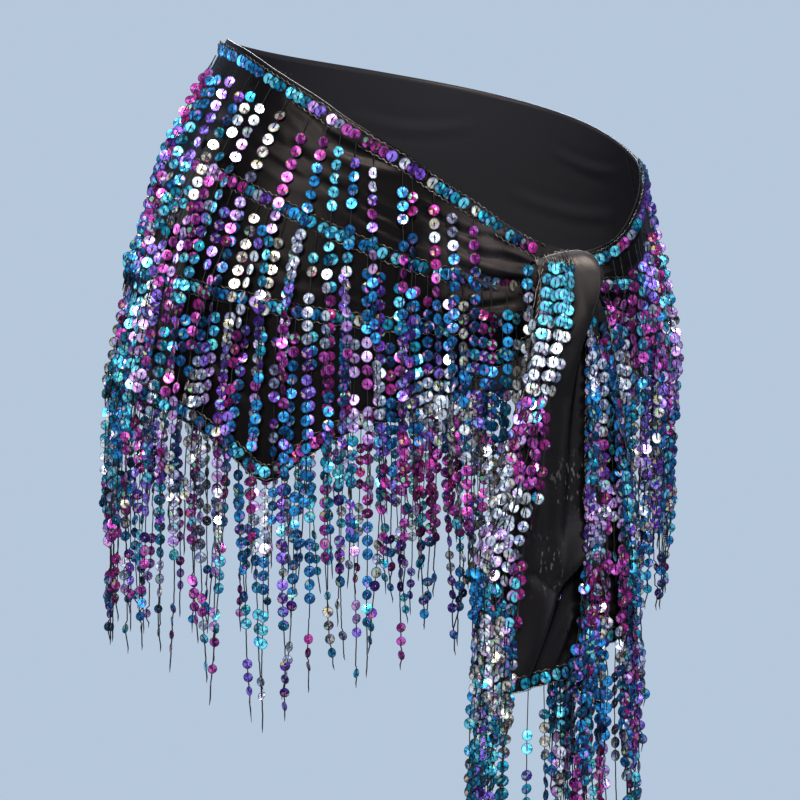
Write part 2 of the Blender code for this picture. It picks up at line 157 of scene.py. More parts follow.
# folds of the cloth, the same as the solids', with softer small ones added
folds = {
    "frontEnd": 27.0, "knotLift": 3.6, "knotFrom": -14.0, "knotFull": 10.0,
    "place": [0.0, 0.13, 0.27, 0.43, 0.58, 0.73, 0.87, 1.0],
    "lift":  [0.0, 0.9, 0.15, 1.0, 0.2, 0.75, 0.1, 0.0],
    "hipLift": 5.0, "hipAngle": 46.0, "hipReach": 15.0,
}


# how far the cloth stands out: a rise towards the knot in front, a soft pillow on the left hip
def foldHeight(angle):
    knot = folds["knotLift"] * smoothStep(angle, folds["knotFrom"], folds["knotFull"])
    reach = np.clip((angle - folds["hipAngle"]) / folds["hipReach"], -1, 1)
    hip = folds["hipLift"] * (0.5 + 0.5 * np.cos(np.pi * reach))
    return np.where(angle < folds["frontEnd"], knot, hip)


# that height shaped between rows 1 and 2: gathers in front, one round fold on the left
def clothLift(angle, height):
    top, bottom = (rowHeight(row, angle) + side * layers["bandHalf"]
                   for row, side in ((1, -1), (2, 1)))
    place = np.clip((height - bottom) / (top - bottom), 0, 1)
    gathers = readCurve(folds["place"], folds["lift"], place)
    shape = np.where(angle < folds["frontEnd"], gathers, np.sin(np.pi * place)**2)
    return foldHeight(angle) * shape


# every piece rides on the one body, and stands for one node, which it hides
def claim(piece, node):
    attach(piece, "root")
    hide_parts(node)
    return piece


# an object at the origin, as its mesh already holds its place
def addThing(name, data):
    thing = bpy.data.objects.new(name, data)
    bpy.context.scene.collection.objects.link(thing)
    return thing


# faceSets: (faces with 3 or 4 corners, material number, smooth, uv per corner or None)
def makePiece(name, points, faceSets, materials):
    sets = [faceSet for faceSet in faceSets if len(faceSet[0])]
    loops = np.concatenate([faces.ravel() for faces, *_ in sets]).astype(np.int32)
    sizes = np.concatenate([np.full(len(faces), faces.shape[1]) for faces, *_ in sets])
    numbers = np.concatenate([np.full(len(faces), number) for faces, number, *_ in sets])
    smooth = np.concatenate([np.full(len(faces), soft) for faces, _, soft, _ in sets])
    mesh = bpy.data.meshes.new(name)
    mesh.vertices.add(len(points))
    mesh.vertices.foreach_set("co", (np.asarray(points) * mm).astype(np.float32).ravel())
    mesh.loops.add(len(loops))
    mesh.loops.foreach_set("vertex_index", loops)
    mesh.polygons.add(len(sizes))
    starts = np.concatenate([[0], np.cumsum(sizes)[:-1]]).astype(np.int32)
    mesh.polygons.foreach_set("loop_start", starts)
    mesh.polygons.foreach_set("material_index", numbers.astype(np.int32))
    mesh.polygons.foreach_set("use_smooth", smooth.astype(bool))
    if sets[0][3] is not None:
        layer = mesh.uv_layers.new(name="OFBake")
        uv = np.concatenate([faceSet[3].reshape(-1, 2) for faceSet in sets])
        layer.uv.foreach_set("vector", uv.astype(np.float32).ravel())
    mesh.update(calc_edges=True)
    mesh.validate()
    for material in materials:
        mesh.materials.append(material)
    return addThing(name, mesh)


# a closed wall between two grids of points, outer face first
def wallFaces(count, columns, offset):
    index = np.arange(count * columns).reshape(count, columns)
    a, b, c, d = (grid.ravel() for grid in
                  (index[:-1, :-1], index[1:, :-1], index[1:, 1:], index[:-1, 1:]))
    outer = np.stack([a, b, c, d], 1)
    rim = np.concatenate([index[:, 0], index[-1, 1:], index[-2::-1, -1], index[0, -2:0:-1]])
    after = np.roll(rim, -1)
    edge = np.stack([rim, rim + offset, after + offset, after], 1)
    return np.concatenate([outer, outer[:, ::-1] + offset, edge])


# one piece of cloth: outer grid, inner grid turned over, and the rim between them
def makeWall(name, outer, inner, material):
    faces = wallFaces(outer.shape[0], outer.shape[1], outer.shape[0] * outer.shape[1])
    points = np.concatenate([outer.reshape(-1, 3), inner.reshape(-1, 3)])
    return makePiece(name, points, [(faces, 0, True, None)], [material])


# a node's output that can be reckoned with: each sum, product and so on adds a Math node
class Wire:
    def __init__(self, socket):
        self.socket = socket
        self.tree = socket.id_data

    def math(self, operation, *others):
        return output(self.tree, "ShaderNodeMath", dict(enumerate((self, *others))),
                      operation=operation)

    def __add__(self, other):
        return self.math("ADD", other)

    def __sub__(self, other):
        return self.math("SUBTRACT", other)

    def __mul__(self, other):
        return self.math("MULTIPLY", other)

    def __truediv__(self, other):
        return self.math("DIVIDE", other)


# inputs that are wires are linked, and all others are set
def fill(node, inputs):
    for key, value in inputs.items():
        if isinstance(value, Wire):
            value.tree.links.new(value.socket, node.inputs[key])
        else:
            node.inputs[key].default_value = value


# a node with its settings and inputs, then one of its outputs, or all of them
def addNode(tree, kind, inputs=None, **settings):
    node = tree.nodes.new(kind)
    for key, value in settings.items():
        setattr(node, key, value)
    fill(node, inputs or {})
    return node


def output(tree, kind, inputs=None, key=0, **settings):
    return Wire(addNode(tree, kind, inputs, **settings).outputs[key])


def allOutputs(tree, kind, inputs=None, **settings):
    return [Wire(socket) for socket in addNode(tree, kind, inputs, **settings).outputs]


def objectPlace(tree):
    return output(tree, "ShaderNodeTexCoord", key="Object")


def splitPlace(place):
    return allOutputs(place.tree, "ShaderNodeSeparateXYZ", {0: place})


def joinPlace(x, y, z=0.0):
    return output(x.tree, "ShaderNodeCombineXYZ", {0: x, 1: y, 2: z})


# key is "Value" for a number and 0 for a vector
def vectorMath(operation, *vectors, key="Value"):
    return output(vectors[0].tree, "ShaderNodeVectorMath", dict(enumerate(vectors)), key,
                  operation=operation)


def noiseAt(place, scale, detail=2.0):
    return output(place.tree, "ShaderNodeTexNoise",
                  {"Vector": place, "Scale": scale, "Detail": detail})


def mapRange(value, fromMin, fromMax, toMin=0.0, toMax=1.0, smooth=False):
    return output(value.tree, "ShaderNodeMapRange",
                  {0: value, 1: fromMin, 2: fromMax, 3: toMin, 4: toMax},
                  interpolation_type="SMOOTHSTEP" if smooth else "LINEAR")


def mixColour(amount, first, second):
    return output(amount.tree, "ShaderNodeMix", {0: amount, 6: first, 7: second}, 2,
                  data_type="RGBA")


def bumpOf(height, strength, distance):
    return output(height.tree, "ShaderNodeBump",
                  {"Height": height, "Strength": strength, "Distance": distance})


# a new material, its nodes and its shader
def startMaterial(name):
    material = bpy.data.materials.new(name)
    material.use_nodes = True
    tree = material.node_tree
    return material, tree, tree.nodes["Principled BSDF"]


# a group with number inputs and their usual values; outputs are "Float" or "Color"
def newGroup(name, inputs, outputs):
    group = bpy.data.node_groups.new(name, "ShaderNodeTree")
    for socketName, value in inputs.items():
        socket = group.interface.new_socket(socketName, in_out="INPUT",
                                            socket_type="NodeSocketFloat")
        socket.default_value = value
    for socketName, kind in outputs.items():
        group.interface.new_socket(socketName, in_out="OUTPUT", socket_type=f"NodeSocket{kind}")
    given = group.nodes.new("NodeGroupInput")
    return group, {key: Wire(given.outputs[key]) for key in inputs}, group.nodes.new(
        "NodeGroupOutput")


# a group placed in a material, its outputs by name
def placeGroup(tree, group, inputs):
    node = addNode(tree, "ShaderNodeGroup", node_tree=group)
    fill(node, inputs)
    return {socket.name: Wire(socket) for socket in node.outputs}


# fine yarns: two crossed sets of waves on Object coordinates with noise in them
def makeYarnGroup():
    group, given, out = newGroup("fineYarns", {"YarnWidth": 0.0005, "Slub": 0.3},
                                 {"Height": "Float", "Fleck": "Float"})
    place = objectPlace(group)
    x, y, z = splitPlace(place)
    scale = output(group, "ShaderNodeMath", {0: 1.0, 1: given["YarnWidth"]},
                   operation="DIVIDE")
    shift = noiseAt(place, scale * 0.16) * given["Slub"]
    fine = noiseAt(place, scale * 0.7, 1.0)
    upright, across = (((yarn * scale + shift * 2.0) * 3.14159).math("SINE")
                       for yarn in (x + y, z))
    fill(out, {"Height": upright * across + fine, "Fleck": fine})
    return group


yarnGroup = makeYarnGroup()

satinLook = {
    "dark": (0.0007, 0.0006, 0.0008, 1), "light": (0.0022, 0.0018, 0.0018, 1),
    "yarn": 0.00042, "bump": 0.11, "wornScale": 55.0, "tint": (1.0, 0.89, 0.86, 1),
    "paintedSheenColour": (0.050, 0.044, 0.042, 1), "paintedSheenSize": 520.0, "paintedSheenTall": 0.38,
    # places on the tail with painted sheen flecks: middle and reach, in metres
    "paintedSheenPlaces": [((0.071, -0.130, -0.200), 0.022), ((0.046, -0.134, -0.246), 0.022)],
    # places at the knot painted lighter, as light falling on its folds
    "paintedLitKnot": [((0.022, -0.118, -0.064), 0.044), ((0.083, -0.118, -0.066), 0.034)],
    "paintedLitColour": (0.026, 0.022, 0.022, 1), "paintedInsideFill": (0.011, 0.011, 0.013, 1),
}


# 1 near any of the places, falling to 0 at its reach
def nearPlaces(position, places):
    near = [mapRange(vectorMath("DISTANCE", position, middle), reach, 0.4 * reach)
            for middle, reach in places]
    most = near[0]
    for one in near[1:]:
        most = most.math("MAXIMUM", one)
    return most


# satin: near-black, with a fine yarn grain that catches the light; the second input is the share
# of light flecks painted in as sheen at given places on the tail
def makeSatin(name, sheenShare, shine, roughness):
    material, tree, shader = startMaterial(name)
    yarns = placeGroup(tree, yarnGroup, {"YarnWidth": satinLook["yarn"], "Slub": 0.4})
    place = objectPlace(tree)
    worn = noiseAt(place, satinLook["wornScale"], 3.0)
    amount = mapRange(yarns["Fleck"], 0.45, 0.7) * mapRange(worn, 0.35, 0.65, 0.4, 1.0)
    colour = mixColour(amount, satinLook["dark"], satinLook["light"])
    # painted light: a lighter base colour where light falls on the knot's folds
    paintedLitKnot = nearPlaces(place, satinLook["paintedLitKnot"]) * mapRange(worn, 0.3, 0.6, 0.5, 1.0)
    colour = mixColour(paintedLitKnot, colour, satinLook["paintedLitColour"])
    # the side towards the body is painted lighter, as fill light in its shade: normal times x and y
    # of the place is below 0 there
    normal = output(tree, "ShaderNodeNewGeometry", key="Normal")
    outwards = vectorMath("DOT_PRODUCT", normal, vectorMath("MULTIPLY", place, (1, 1, 0), key=0))
    colour = mixColour(mapRange(outwards, -0.02, -0.06), colour, satinLook["paintedInsideFill"])
    if sheenShare:
        # painted sheen: upright light flecks in the base colour at the given places
        tall = output(tree, "ShaderNodeMapping", {
            "Vector": place, "Scale": (1.0, 1.0, satinLook["paintedSheenTall"])})
        paintedSheen = mapRange(noiseAt(tall, satinLook["paintedSheenSize"], 1.0), 0.62, 0.70, 0.0, sheenShare)
        paintedSheen = paintedSheen * nearPlaces(place, satinLook["paintedSheenPlaces"])
        colour = mixColour(paintedSheen, colour, satinLook["paintedSheenColour"])
    fill(shader, {
        "Base Color": colour, "Roughness": mapRange(yarns["Fleck"], 0.3, 0.7, *roughness[::-1]),
        "Normal": bumpOf(yarns["Height"], satinLook["bump"], 0.0002),
        "Specular Tint": satinLook["tint"], "Specular IOR Level": shine, "Sheen Weight": 0.0})
    return material


# sequin film: a cell of the OFBake map holds one look of a whole disc
film = {
    "cells": 15, "variations": 8,
    # light and deep colour of each hue, two hues for each family
    "silver": [((0.84, 0.88, 0.93), (0.12, 0.14, 0.21)),
               ((0.62, 0.57, 0.48), (0.04, 0.036, 0.045))],
    "cyan": [((0.16, 0.74, 0.86), (0.001, 0.10, 0.19)),
             ((0.006, 0.28, 0.40), (0.001, 0.03, 0.07))],
    "blue": [((0.02, 0.27, 0.60), (0.001, 0.035, 0.12)),
             ((0.004, 0.11, 0.30), (0.001, 0.014, 0.05))],
    "violet": [((0.30, 0.18, 0.74), (0.04, 0.012, 0.18)),
               ((0.12, 0.035, 0.32), (0.014, 0.003, 0.07))],
    "magenta": [((0.58, 0.10, 0.46), (0.13, 0.006, 0.11)),
                ((0.36, 0.016, 0.19), (0.05, 0.002, 0.04))],
    "lilac": [((0.72, 0.50, 0.86), (0.22, 0.10, 0.34)),
              ((0.32, 0.32, 0.46), (0.03, 0.03, 0.06))],
    # discs painted dark, as if in shade
    "dusk": [((0.03, 0.06, 0.14), (0.002, 0.004, 0.012)),
             ((0.07, 0.03, 0.10), (0.004, 0.002, 0.01))],
    # painted shade round the rim and dark yarn in the hole, in widths of a cell; slow clouds,
    # streaks and crackle
    "rim": 0.46, "rimWidth": 0.125, "rimShade": 0.88, "rimColour": (0.004, 0.007, 0.02, 1),
    "stitch": (0.052, 0.22), "stitchSlant": 0.22, "stitchColour": (0.002, 0.002, 0.003, 1),
    "level": (0.0, 0.95), "cloud": 0.25, "cloudScale": 2.4, "cracks": 3.5,
    "lobeTurns": 2.0, "lobeBend": 9.0,
    "streaks": 0.38, "streakTurns": 7.0, "streakRings": 1.5,
    "roughness": (0.38, 0.24), "metallic": 0.86,
}
families = ["silver", "cyan", "blue", "violet", "magenta", "lilac", "dusk"]


# plain colours in equal steps from 0 to 1
def hueRamp(place, colours):
    ramp = addNode(place.tree, "ShaderNodeValToRGB", {0: place})
    ramp.color_ramp.interpolation = "CONSTANT"
    stops = ramp.color_ramp.elements
    for i, colour in enumerate(colours):
        stop = stops[i] if i < 2 else stops.new(i / len(colours))
        stop.position = i / len(colours)
        stop.color = (*colour, 1)
    return Wire(ramp.outputs[0])


# the map's cell gives a disc's hue and look, from its deep colour to its light one; inside it,
# two light lobes face each other across the hole as a painted reflection, fine streaks run out to
# the rim, some cells of a crackle carry painted rainbow glints, the rim is painted dark as shade,
# and the yarn in the hole is dark
def makeFilmGroup():
    group, given, out = newGroup("spunFilm", {"Lobes": 0.4, "Glint": 0.3}, {
        "Colour": "Color", "Roughness": "Float", "Height": "Float"})
    chart = splitPlace(output(group, "ShaderNodeUVMap", uv_map="OFBake"))
    wide = [part * film["cells"] for part in chart[:2]]
    column, row = (value.math("FLOOR") for value in wide)
    across, up = (value.math("FRACT") - 0.5 for value in wide)
    index = column + row * film["cells"]
    looks = 2.0 * film["variations"]
    hue = ((index + 0.5) / looks).math("FLOOR")
    shades = [shade for family in families for shade in film[family]]
    light, deep = (hueRamp((hue + 0.5) / len(shades), [shade[i] for shade in shades])
                   for i in (0, 1))

    own = index * 1.37
    turn = up.math("ARCTAN2", across)
    spread = vectorMath("LENGTH", joinPlace(across, up))
    onDisc = joinPlace(across, up, own)
    soft = noiseAt(onDisc, film["cloudScale"], 1.0)
    lobes = (turn * film["lobeTurns"] + soft * film["lobeBend"]).math("COSINE")
    streaks = noiseAt(joinPlace(turn * film["streakTurns"], spread * film["streakRings"], own), 1.0)
    level = mapRange(soft, 0.3, 0.7, -film["cloud"], film["cloud"]) + mapRange(
        (index / looks).math("FRACT"), 0.0, 0.9, *film["level"])
    amount = level + lobes * given["Lobes"] + mapRange(
        streaks, 0.3, 0.7, -film["streaks"], film["streaks"])
    colour = mixColour(mapRange(amount, 0.0, 1.0), deep, light)

    # painted rainbow glints in a few cells of a crackle
    crack = output(group, "ShaderNodeTexVoronoi", {"Vector": onDisc, "Scale": film["cracks"]},
                   "Color")
    splitHue, _, chance = allOutputs(group, "ShaderNodeSeparateColor", {0: crack})
    split = output(group, "ShaderNodeCombineColor", {0: splitHue, 1: 0.8, 2: 0.9}, mode="HSV")
    colour = mixColour(mapRange(chance, 0.84, 0.86) * given["Glint"], colour, split)
    # painted shade at the rim of each disc
    rim = mapRange(spread, film["rim"] - film["rimWidth"], film["rim"], smooth=True)
    colour = mixColour(rim * film["rimShade"], colour, film["rimColour"])
    slant = mapRange((index * 0.618).math("FRACT"), 0.0, 1.0, -film["stitchSlant"],
                     film["stitchSlant"])
    aside = (across + up * slant).math("ABSOLUTE")
    width, tall = film["stitch"]
    stitch = mapRange(aside, width, 0.6 * width) * mapRange(
        up.math("ABSOLUTE"), tall, 0.8 * tall)
    fill(out, {"Colour": mixColour(stitch, colour, film["stitchColour"]),
               "Roughness": mapRange(soft, 0.3, 0.7, *film["roughness"]),
               "Height": streaks * 0.25 + soft})
    return group


filmGroup = makeFilmGroup()


# the film on discs: strength of its painted highlight lobes, of its painted rainbow glints and of
# its unevenness
def makeFilm(name, lobes, glint, bump):
    material, tree, shader = startMaterial(name)
    looks = placeGroup(tree, filmGroup, {"Lobes": lobes, "Glint": glint})
    fill(shader, {
        "Base Color": looks["Colour"], "Roughness": looks["Roughness"],
        "Normal": bumpOf(looks["Height"], bump, 0.0006), "Metallic": film["metallic"],
        "Specular IOR Level": 0.7})
    return material


# yarn: dark, with stretches of a lighter colour at random; on the black thread these are painted
# sheen highlights
def makeThread(name, dark, light, spread, metallic, roughness):
    material, tree, shader = startMaterial(name)
    yarns = placeGroup(tree, yarnGroup, {"YarnWidth": 0.0003, "Slub": 0.6})
    runs = mapRange(noiseAt(objectPlace(tree), 130.0), *spread)
    amount = runs * mapRange(yarns["Fleck"], 0.35, 0.6, 0.3, 1.0)
    fill(shader, {
        "Base Color": mixColour(amount, dark, light), "Metallic": metallic,
        "Normal": bumpOf(yarns["Height"], 0.4, 0.0001), "Roughness": roughness,
        "Specular IOR Level": 0.2})
    return material


satin = makeSatin("blackSatin", 0.0, 0.055, (0.31, 0.38))
# the tails' satin, with painted sheen flecks
paintedSheenSatin = makeSatin("paintedSheenSatin", 0.8, 0.14, (0.29, 0.35))
strandFilm = makeFilm("strandFilm", 0.42, 0.40, 0.22)
bandFilm = makeFilm("bandFilm", 0.42, 0.22, 0.25)
thread = makeThread("blackThread", (0.0015, 0.0015, 0.002, 1), (0.03, 0.026, 0.024, 1),
                    (0.60, 0.72), 0.0, 0.7)
chain = makeThread("dullMetalYarn", (0.02, 0.018, 0.016, 1), (0.36, 0.31, 0.26, 1),
                   (0.35, 0.60), 0.6, 0.4)
print("materials made")


# thread tubes, many at once: every path (count, steps, 3) gets a ring of points at each step,
# ring = path + radius * (u cos t + v sin t), with u and v square to the path
def tubeMesh(paths, radius, sides, reference):
    count, steps = paths.shape[:2]
    ahead = unit(np.gradient(paths, axis=1))
    u = unit(np.cross(ahead, reference))
    v = np.cross(u, ahead)
    turn = np.arange(sides) * 2 * np.pi / sides
    radius = np.broadcast_to(radius, (count, steps))[..., None, None]
    points = (paths[:, :, None] + radius * (u[:, :, None] * np.cos(turn)[:, None]
                                            + v[:, :, None] * np.sin(turn)[:, None]))
    index = np.arange(count * steps * sides).reshape(count, steps, sides)
    after = np.roll(index, -1, axis=2)
    walls = np.stack([index[:, :-1], after[:, :-1], after[:, 1:], index[:, 1:]], -1)
    caps = np.concatenate([index[:, 0, ::-1], index[:, -1]])
    return points.reshape(-1, 3), walls.reshape(-1, 4), caps


# one place on the OFBake map for all threads
def threadChart(faces):
    corners = np.array([[0, 0], [1, 0], [1, 1], [0, 1]])
    return 0.985 + 0.004 * corners[np.arange(faces.size) % 4]


disc = {"radius": 3.52, "hole": 0.72, "holeSides": 5, "dish": 0.16, "thick": 0.12, "margin": 0.92}


# a disc with a hole: rim lower than the hole by the dish, both faces share the rim, and two
# sides of the rim meet each side of the hole
def discTemplate():
    n = disc["holeSides"]
    rings = [(disc["radius"], -disc["dish"], 2 * n), (disc["hole"], 0.0, n),
             (disc["hole"], -disc["thick"], n)]
    points = []
    for radius, lift, sides in rings:
        turn = np.arange(sides) * 2 * np.pi / sides
        points.append(np.stack([radius * np.cos(turn), radius * np.sin(turn),
                                np.full(sides, lift)], 1))
    hole = np.arange(n)
    after, rim = (hole + 1) % n, 2 * hole
    front = [np.stack(corners, 1) for corners in (
        (rim, rim + 1, hole + 2 * n), (rim + 1, 2 * after, after + 2 * n),
        (rim + 1, after + 2 * n, hole + 2 * n))]
    front = np.concatenate(front)
    back = front[:, ::-1] + n * (front[:, ::-1] >= 2 * n)
    wall = np.concatenate([np.stack([hole, after, after + n], 1),
                           np.stack([hole, after + n, hole + n], 1)]) + 2 * n
    return np.concatenate(points), np.concatenate([front, back, wall]), np.repeat(
        [0, 1, 0], [3 * n, 3 * n, 2 * n])


# centres (n, 3) with three square directions each: across, up and facing; hue and look say
# which cell of the map each disc shows
def discMesh(centres, across, up, facing, hue, look, size):
    template, faces, sides = discTemplate()
    local = template * size[:, None, None]
    points = (centres[:, None] + local[..., :1] * across[:, None] + local[..., 1:2] * up[:, None]
              + local[..., 2:] * facing[:, None])
    allFaces = faces + len(template) * np.arange(len(centres))[:, None, None]
    cell = ((hue * film["variations"] + look) * 2)[:, None] + sides
    corner = np.stack([cell % film["cells"], cell // film["cells"]], -1)[:, :, None]
    inside = template[faces][..., :2] / (2 * disc["radius"]) * disc["margin"] + 0.5
    uv = (corner + inside[None]) / film["cells"]
    return points.reshape(-1, 3), allFaces.reshape(-1, 3), uv.reshape(-1, 2)


# one piece of discs and of tubes, each tube with the number of its material
def makeTrim(name, node, discs, tubes, materials):
    points, faceSets = [discs[0]], [(discs[1], 0, False, discs[2])]
    offset = len(discs[0])
    for (ring, walls, caps), number in tubes:
        for faces in (walls, caps):
            faceSets.append((faces + offset, number, True, threadChart(faces)))
        points.append(ring)
        offset += len(ring)
    return claim(makePiece(name, np.concatenate(points), faceSets, materials), node)


# where each family of colours gathers, in degrees and millimetres
patches = {
    "magenta": [(-96, 40), (-86, 20), (-62, -50), (-62, -107), (-62, -145), (-72, -176),
                (-90, -227), (-86, -262), (-28, -6), (-20, -42), (-8, -60), (-6, -86), (-30, -114),
                (-21, -138), (-46, -134), (-34, -187), (-24, -181), (-8, -182), (-6, -226),
                (0, -197), (14, -188), (16, -168), (6, -85), (51, -90), (42, -84),
                (33, -96), (56, -111), (34, -170), (34, -272), (-48, -268), (-79, -288),
                (38, -92), (46, -98), (60, -96)],
    "silver": [(-57, 22), (-48, 20), (-50, 2), (-38, -9), (-39, -22), (-33, -62), (-51, -108),
               (-44, -91), (-27, -120), (-19, -109), (-12, -144), (-49, -150), (-42, -150),
               (4, -162), (6, -185), (-3, -150), (18, -128), (17, -80), (8, -290), (37, -116),
               (41, -134), (35, -297), (-51, -174), (-46, -220), (-49, -315), (-34, -337),
               (16, -112), (23, -104), (11, -205), (8, -245), (47, -192), (54, -232), (52, -152)],
    "blue": [(-76, 28), (-70, 4), (-37, -30), (-10, -109), (-2, -109), (-10, -155), (0, -167),
             (-29, -196), (-32, -243), (-78, -164), (-27, -167), (-15, -231), (0, -267),
             (43, -183), (70, -190), (-87, -99), (-100, -19), (48, -251), (38, -150), (62, -160),
             (-26, -40), (-14, -64)],
    "cyan": [(-46, -9), (-25, -56), (-23, -108), (-34, -278), (-56, -221), (-64, -163),
             (-91, -154), (-18, -190), (-13, -290), (10, -268), (47, -214), (22, -86), (17, -104),
             (18, -323), (8, -363), (-78, -110), (-95, -60), (33, -62), (19, -74), (20, -92),
             (-86, -130), (-76, -160), (-84, -200)],
    "violet": [(-74, 12), (-47, -33), (-20, -74), (-30, -85), (-22, -167), (-8, -132), (-6, -161),
               (7, -144), (11, -162), (-70, -76), (-68, -110), (-64, -211), (56, -140)],
    "lilac": [(-54, -18), (-44, -35), (-15, -176), (28, -215), (-70, -140), (50, -120),
              (10, -226), (13, -184)],
}
patchReach = {"angle": 5.5, "height": 26.0, "wave": 0.30, "common": 0.14, "rare": -0.05,
              "runLength": 6, "strandNoise": 0.48, "tailNoise": 0.24, "ownNoise": 0.05}
# how light the discs are: over all, by strand, by disc, and painted light and shade in places
# (angle, height, reach along both, amount); deepShare of the runs and flips of the discs take a
# family's deep hue, more often where shade is painted
tones = {
    "base": 0.31, "strand": 0.16, "own": 0.31,
    "deepShare": 0.40, "deepByPaintedShade": 0.5, "deepLimits": (0.03, 0.7), "flips": 0.10,
    "places": [(-50, 18, 10, 28, 0.40), (-40, -10, 6, 18, 0.30), (20, -84, 5, 18, 0.90),
               (17, -118, 5, 20, 0.75), (15, -160, 6, 24, 0.30), (9, -280, 5, 60, 0.15),
               (-92, 20, 9, 60, -0.25), (10, -76, 5, 14, -0.40), (8, -102, 5, 12, -0.30),
               (40, -92, 8, 14, -0.10), (66, -190, 12, 60, -0.25), (-12, -196, 14, 40, -0.10),
               (44, -140, 14, 50, 0.18), (11, -205, 5, 45, 0.30), (-58, -20, 12, 60, 0.10)],
}


# exp(-(angle / wide)^2 - (height / tall)^2) from its middle
def hill(angle, height, middleAngle, middleHeight, wide, tall):
    return np.exp(-((angle - middleAngle) / wide)**2 - ((height - middleHeight) / tall)**2)


# weight of a family = its patches (round hills) + slow waves that also cover the hidden sides
def familyWeights(angle, height):
    weights = []
    for i, family in enumerate(families[:-1]):
        wave = (np.sin(angle / (7.0 + i) + 2.4 * i) * np.sin(height / (19.0 + 2 * i) + 1.7 * i)
                + 0.6 * np.sin(angle / 17.0 + height / 31.0 + 0.9 * i * i))
        usual = patchReach["common" if family in ("cyan", "blue") else "rare"]
        weight = patchReach["wave"] * wave + usual
        for place in patches[family]:
            weight = weight + hill(angle, height, *place, patchReach["angle"],
                                   patchReach["height"])
        weights.append(weight)
    return np.stack(weights, -1)


# painted light and shade: how much lighter or darker than usual the discs of a place are painted
def paintedLightHills(angle, height):
    return sum(amount * hill(angle, height, *place) for *place, amount in tones["places"])


# hue of each disc on strands (count, discs): the family with the most weight, with noise that
# keeps for a run of discs, then one of the family's two shades, the deep one more often where
# shade is painted
def chooseHues(angle, height, kind):
    weights = familyWeights(angle, height)
    count, discs = angle.shape
    runs = -(-discs // patchReach["runLength"])
    noise = random.gumbel(size=(count, runs, weights.shape[-1]))
    noise = noise * patchReach["tailNoise" if kind == "tail" else "strandNoise"]
    start = random.integers(0, patchReach["runLength"], count)[:, None]
    run = (np.arange(discs) + start) // patchReach["runLength"] % runs
    weights = weights + noise[np.arange(count)[:, None], run]
    weights = weights + random.gumbel(size=weights.shape) * patchReach["ownNoise"]
    chance = tones["deepShare"] - tones["deepByPaintedShade"] * paintedLightHills(angle, height)
    chance = np.clip(chance, *tones["deepLimits"])
    shade = random.random((count, runs))[np.arange(count)[:, None], run] < chance
    shade = shade ^ (random.random((count, discs)) < tones["flips"])
    return weights.argmax(-1) * 2 + shade


# which of a hue's looks each disc of the strands shows: lighter where light is painted, darker
# where shade is painted, with random tone by strand and by disc
def chooseLooks(angle, height):
    tone = tones["base"] + paintedLightHills(angle, height)
    tone = tone + tones["strand"] * random.normal(size=(len(angle), 1))
    tone = tone + tones["own"] * random.normal(size=angle.shape)
    return (np.clip(tone, 0, 0.999) * film["variations"]).astype(int)


# hanging strands, in millimetres and degrees
strand = {
    "pitch": {1: 12.6, 2: 11.4, 3: 11.0, 4: 11.0},
    "frontPitch": {1: 12.6, 2: 10.0, 3: 9.4, 4: 9.6},
    # beside the knot roots crowd together over this length, and all stray by a share of a pitch
    "crowd": 0.75, "crowdOver": 55.0, "rootStray": 0.26,
    "length": 155.0, "bareTop": 8.0, "topStray": (-3.5, 4.5), "step": 2.5, "discs": 18,
    "discPitch": 8.0, "firstDisc": 4.0, "inside": 1.0, "degreesPerMm": 0.347,
    "threadRadius": (0.32, 0.50), "tipRadius": 0.15, "behind": 0.4, "inHole": 0.2,
    # on the right side strands keep their angle and lean
    "rightSide": (0.3, 0.75), "lean": 0.11, "leanBelow": -50.0, "leanEnd": -110.0,
    # sideways: how far strands sway, run together in groups, or stray
    "sway": 2.4, "ripple": 0.3, "gather": {1: 3.5, 2: 3.5, 3: 4.5, 4: 6.0, "tail": 2.5},
    "gatherPower": 1.6, "gatherStray": (0.5, 1.05), "group": {4: 5},
    "strays": 0.09, "strayReach": 9.0, "strayPower": 2.5,
    "shorter": {3: 0.14, 4: 0.18}, "shorterPower": 1.4, "bareTip": 8.0,
    "stretch": (0.985, 1.01), "outBy": (-0.35, 0.35), "holdReach": (3.3, 0.1),
    # how discs turn: a twist along the strand, a tilt, and all of them on the two sides
    "yaw": (14.0, 36.0), "twist": 17.0, "twistSpread": 6.0, "twistStray": (0.5, 1.7),
    "ownTurn": 0.4, "tilt": 10.0, "flipped": 0.10,
    "turned": 50.0, "onLeft": (35.0, 75.0, 100.0, 130.0),
    "onRight": (-35.0, -95.0, 230.0, 268.0), "lastTurn": (30.0, 75.0), "lastKept": 0.8,
    "sizes": (0.97, 1.02), "smallTips": 0.16, "smallFrom": (0.45, 0.9),
    # turned discs are pushed out where their rim would cut the cloth
    "rimRoom": 1.8, "mostPush": 1.6,
}
mmPerDegree = 1 / strand["degreesPerMm"]
# how bare a strand gets towards its tip: discs are left out in runs of about this many mm
bare = {"runs": (30.0, 52.0), "stray": 0.3, "from": -1.35, "sooner": 1.4,
        "to": {1: -0.8, 2: -0.8, 3: -0.45, 4: -0.25, "tail": -0.7, "end": 0.1}}


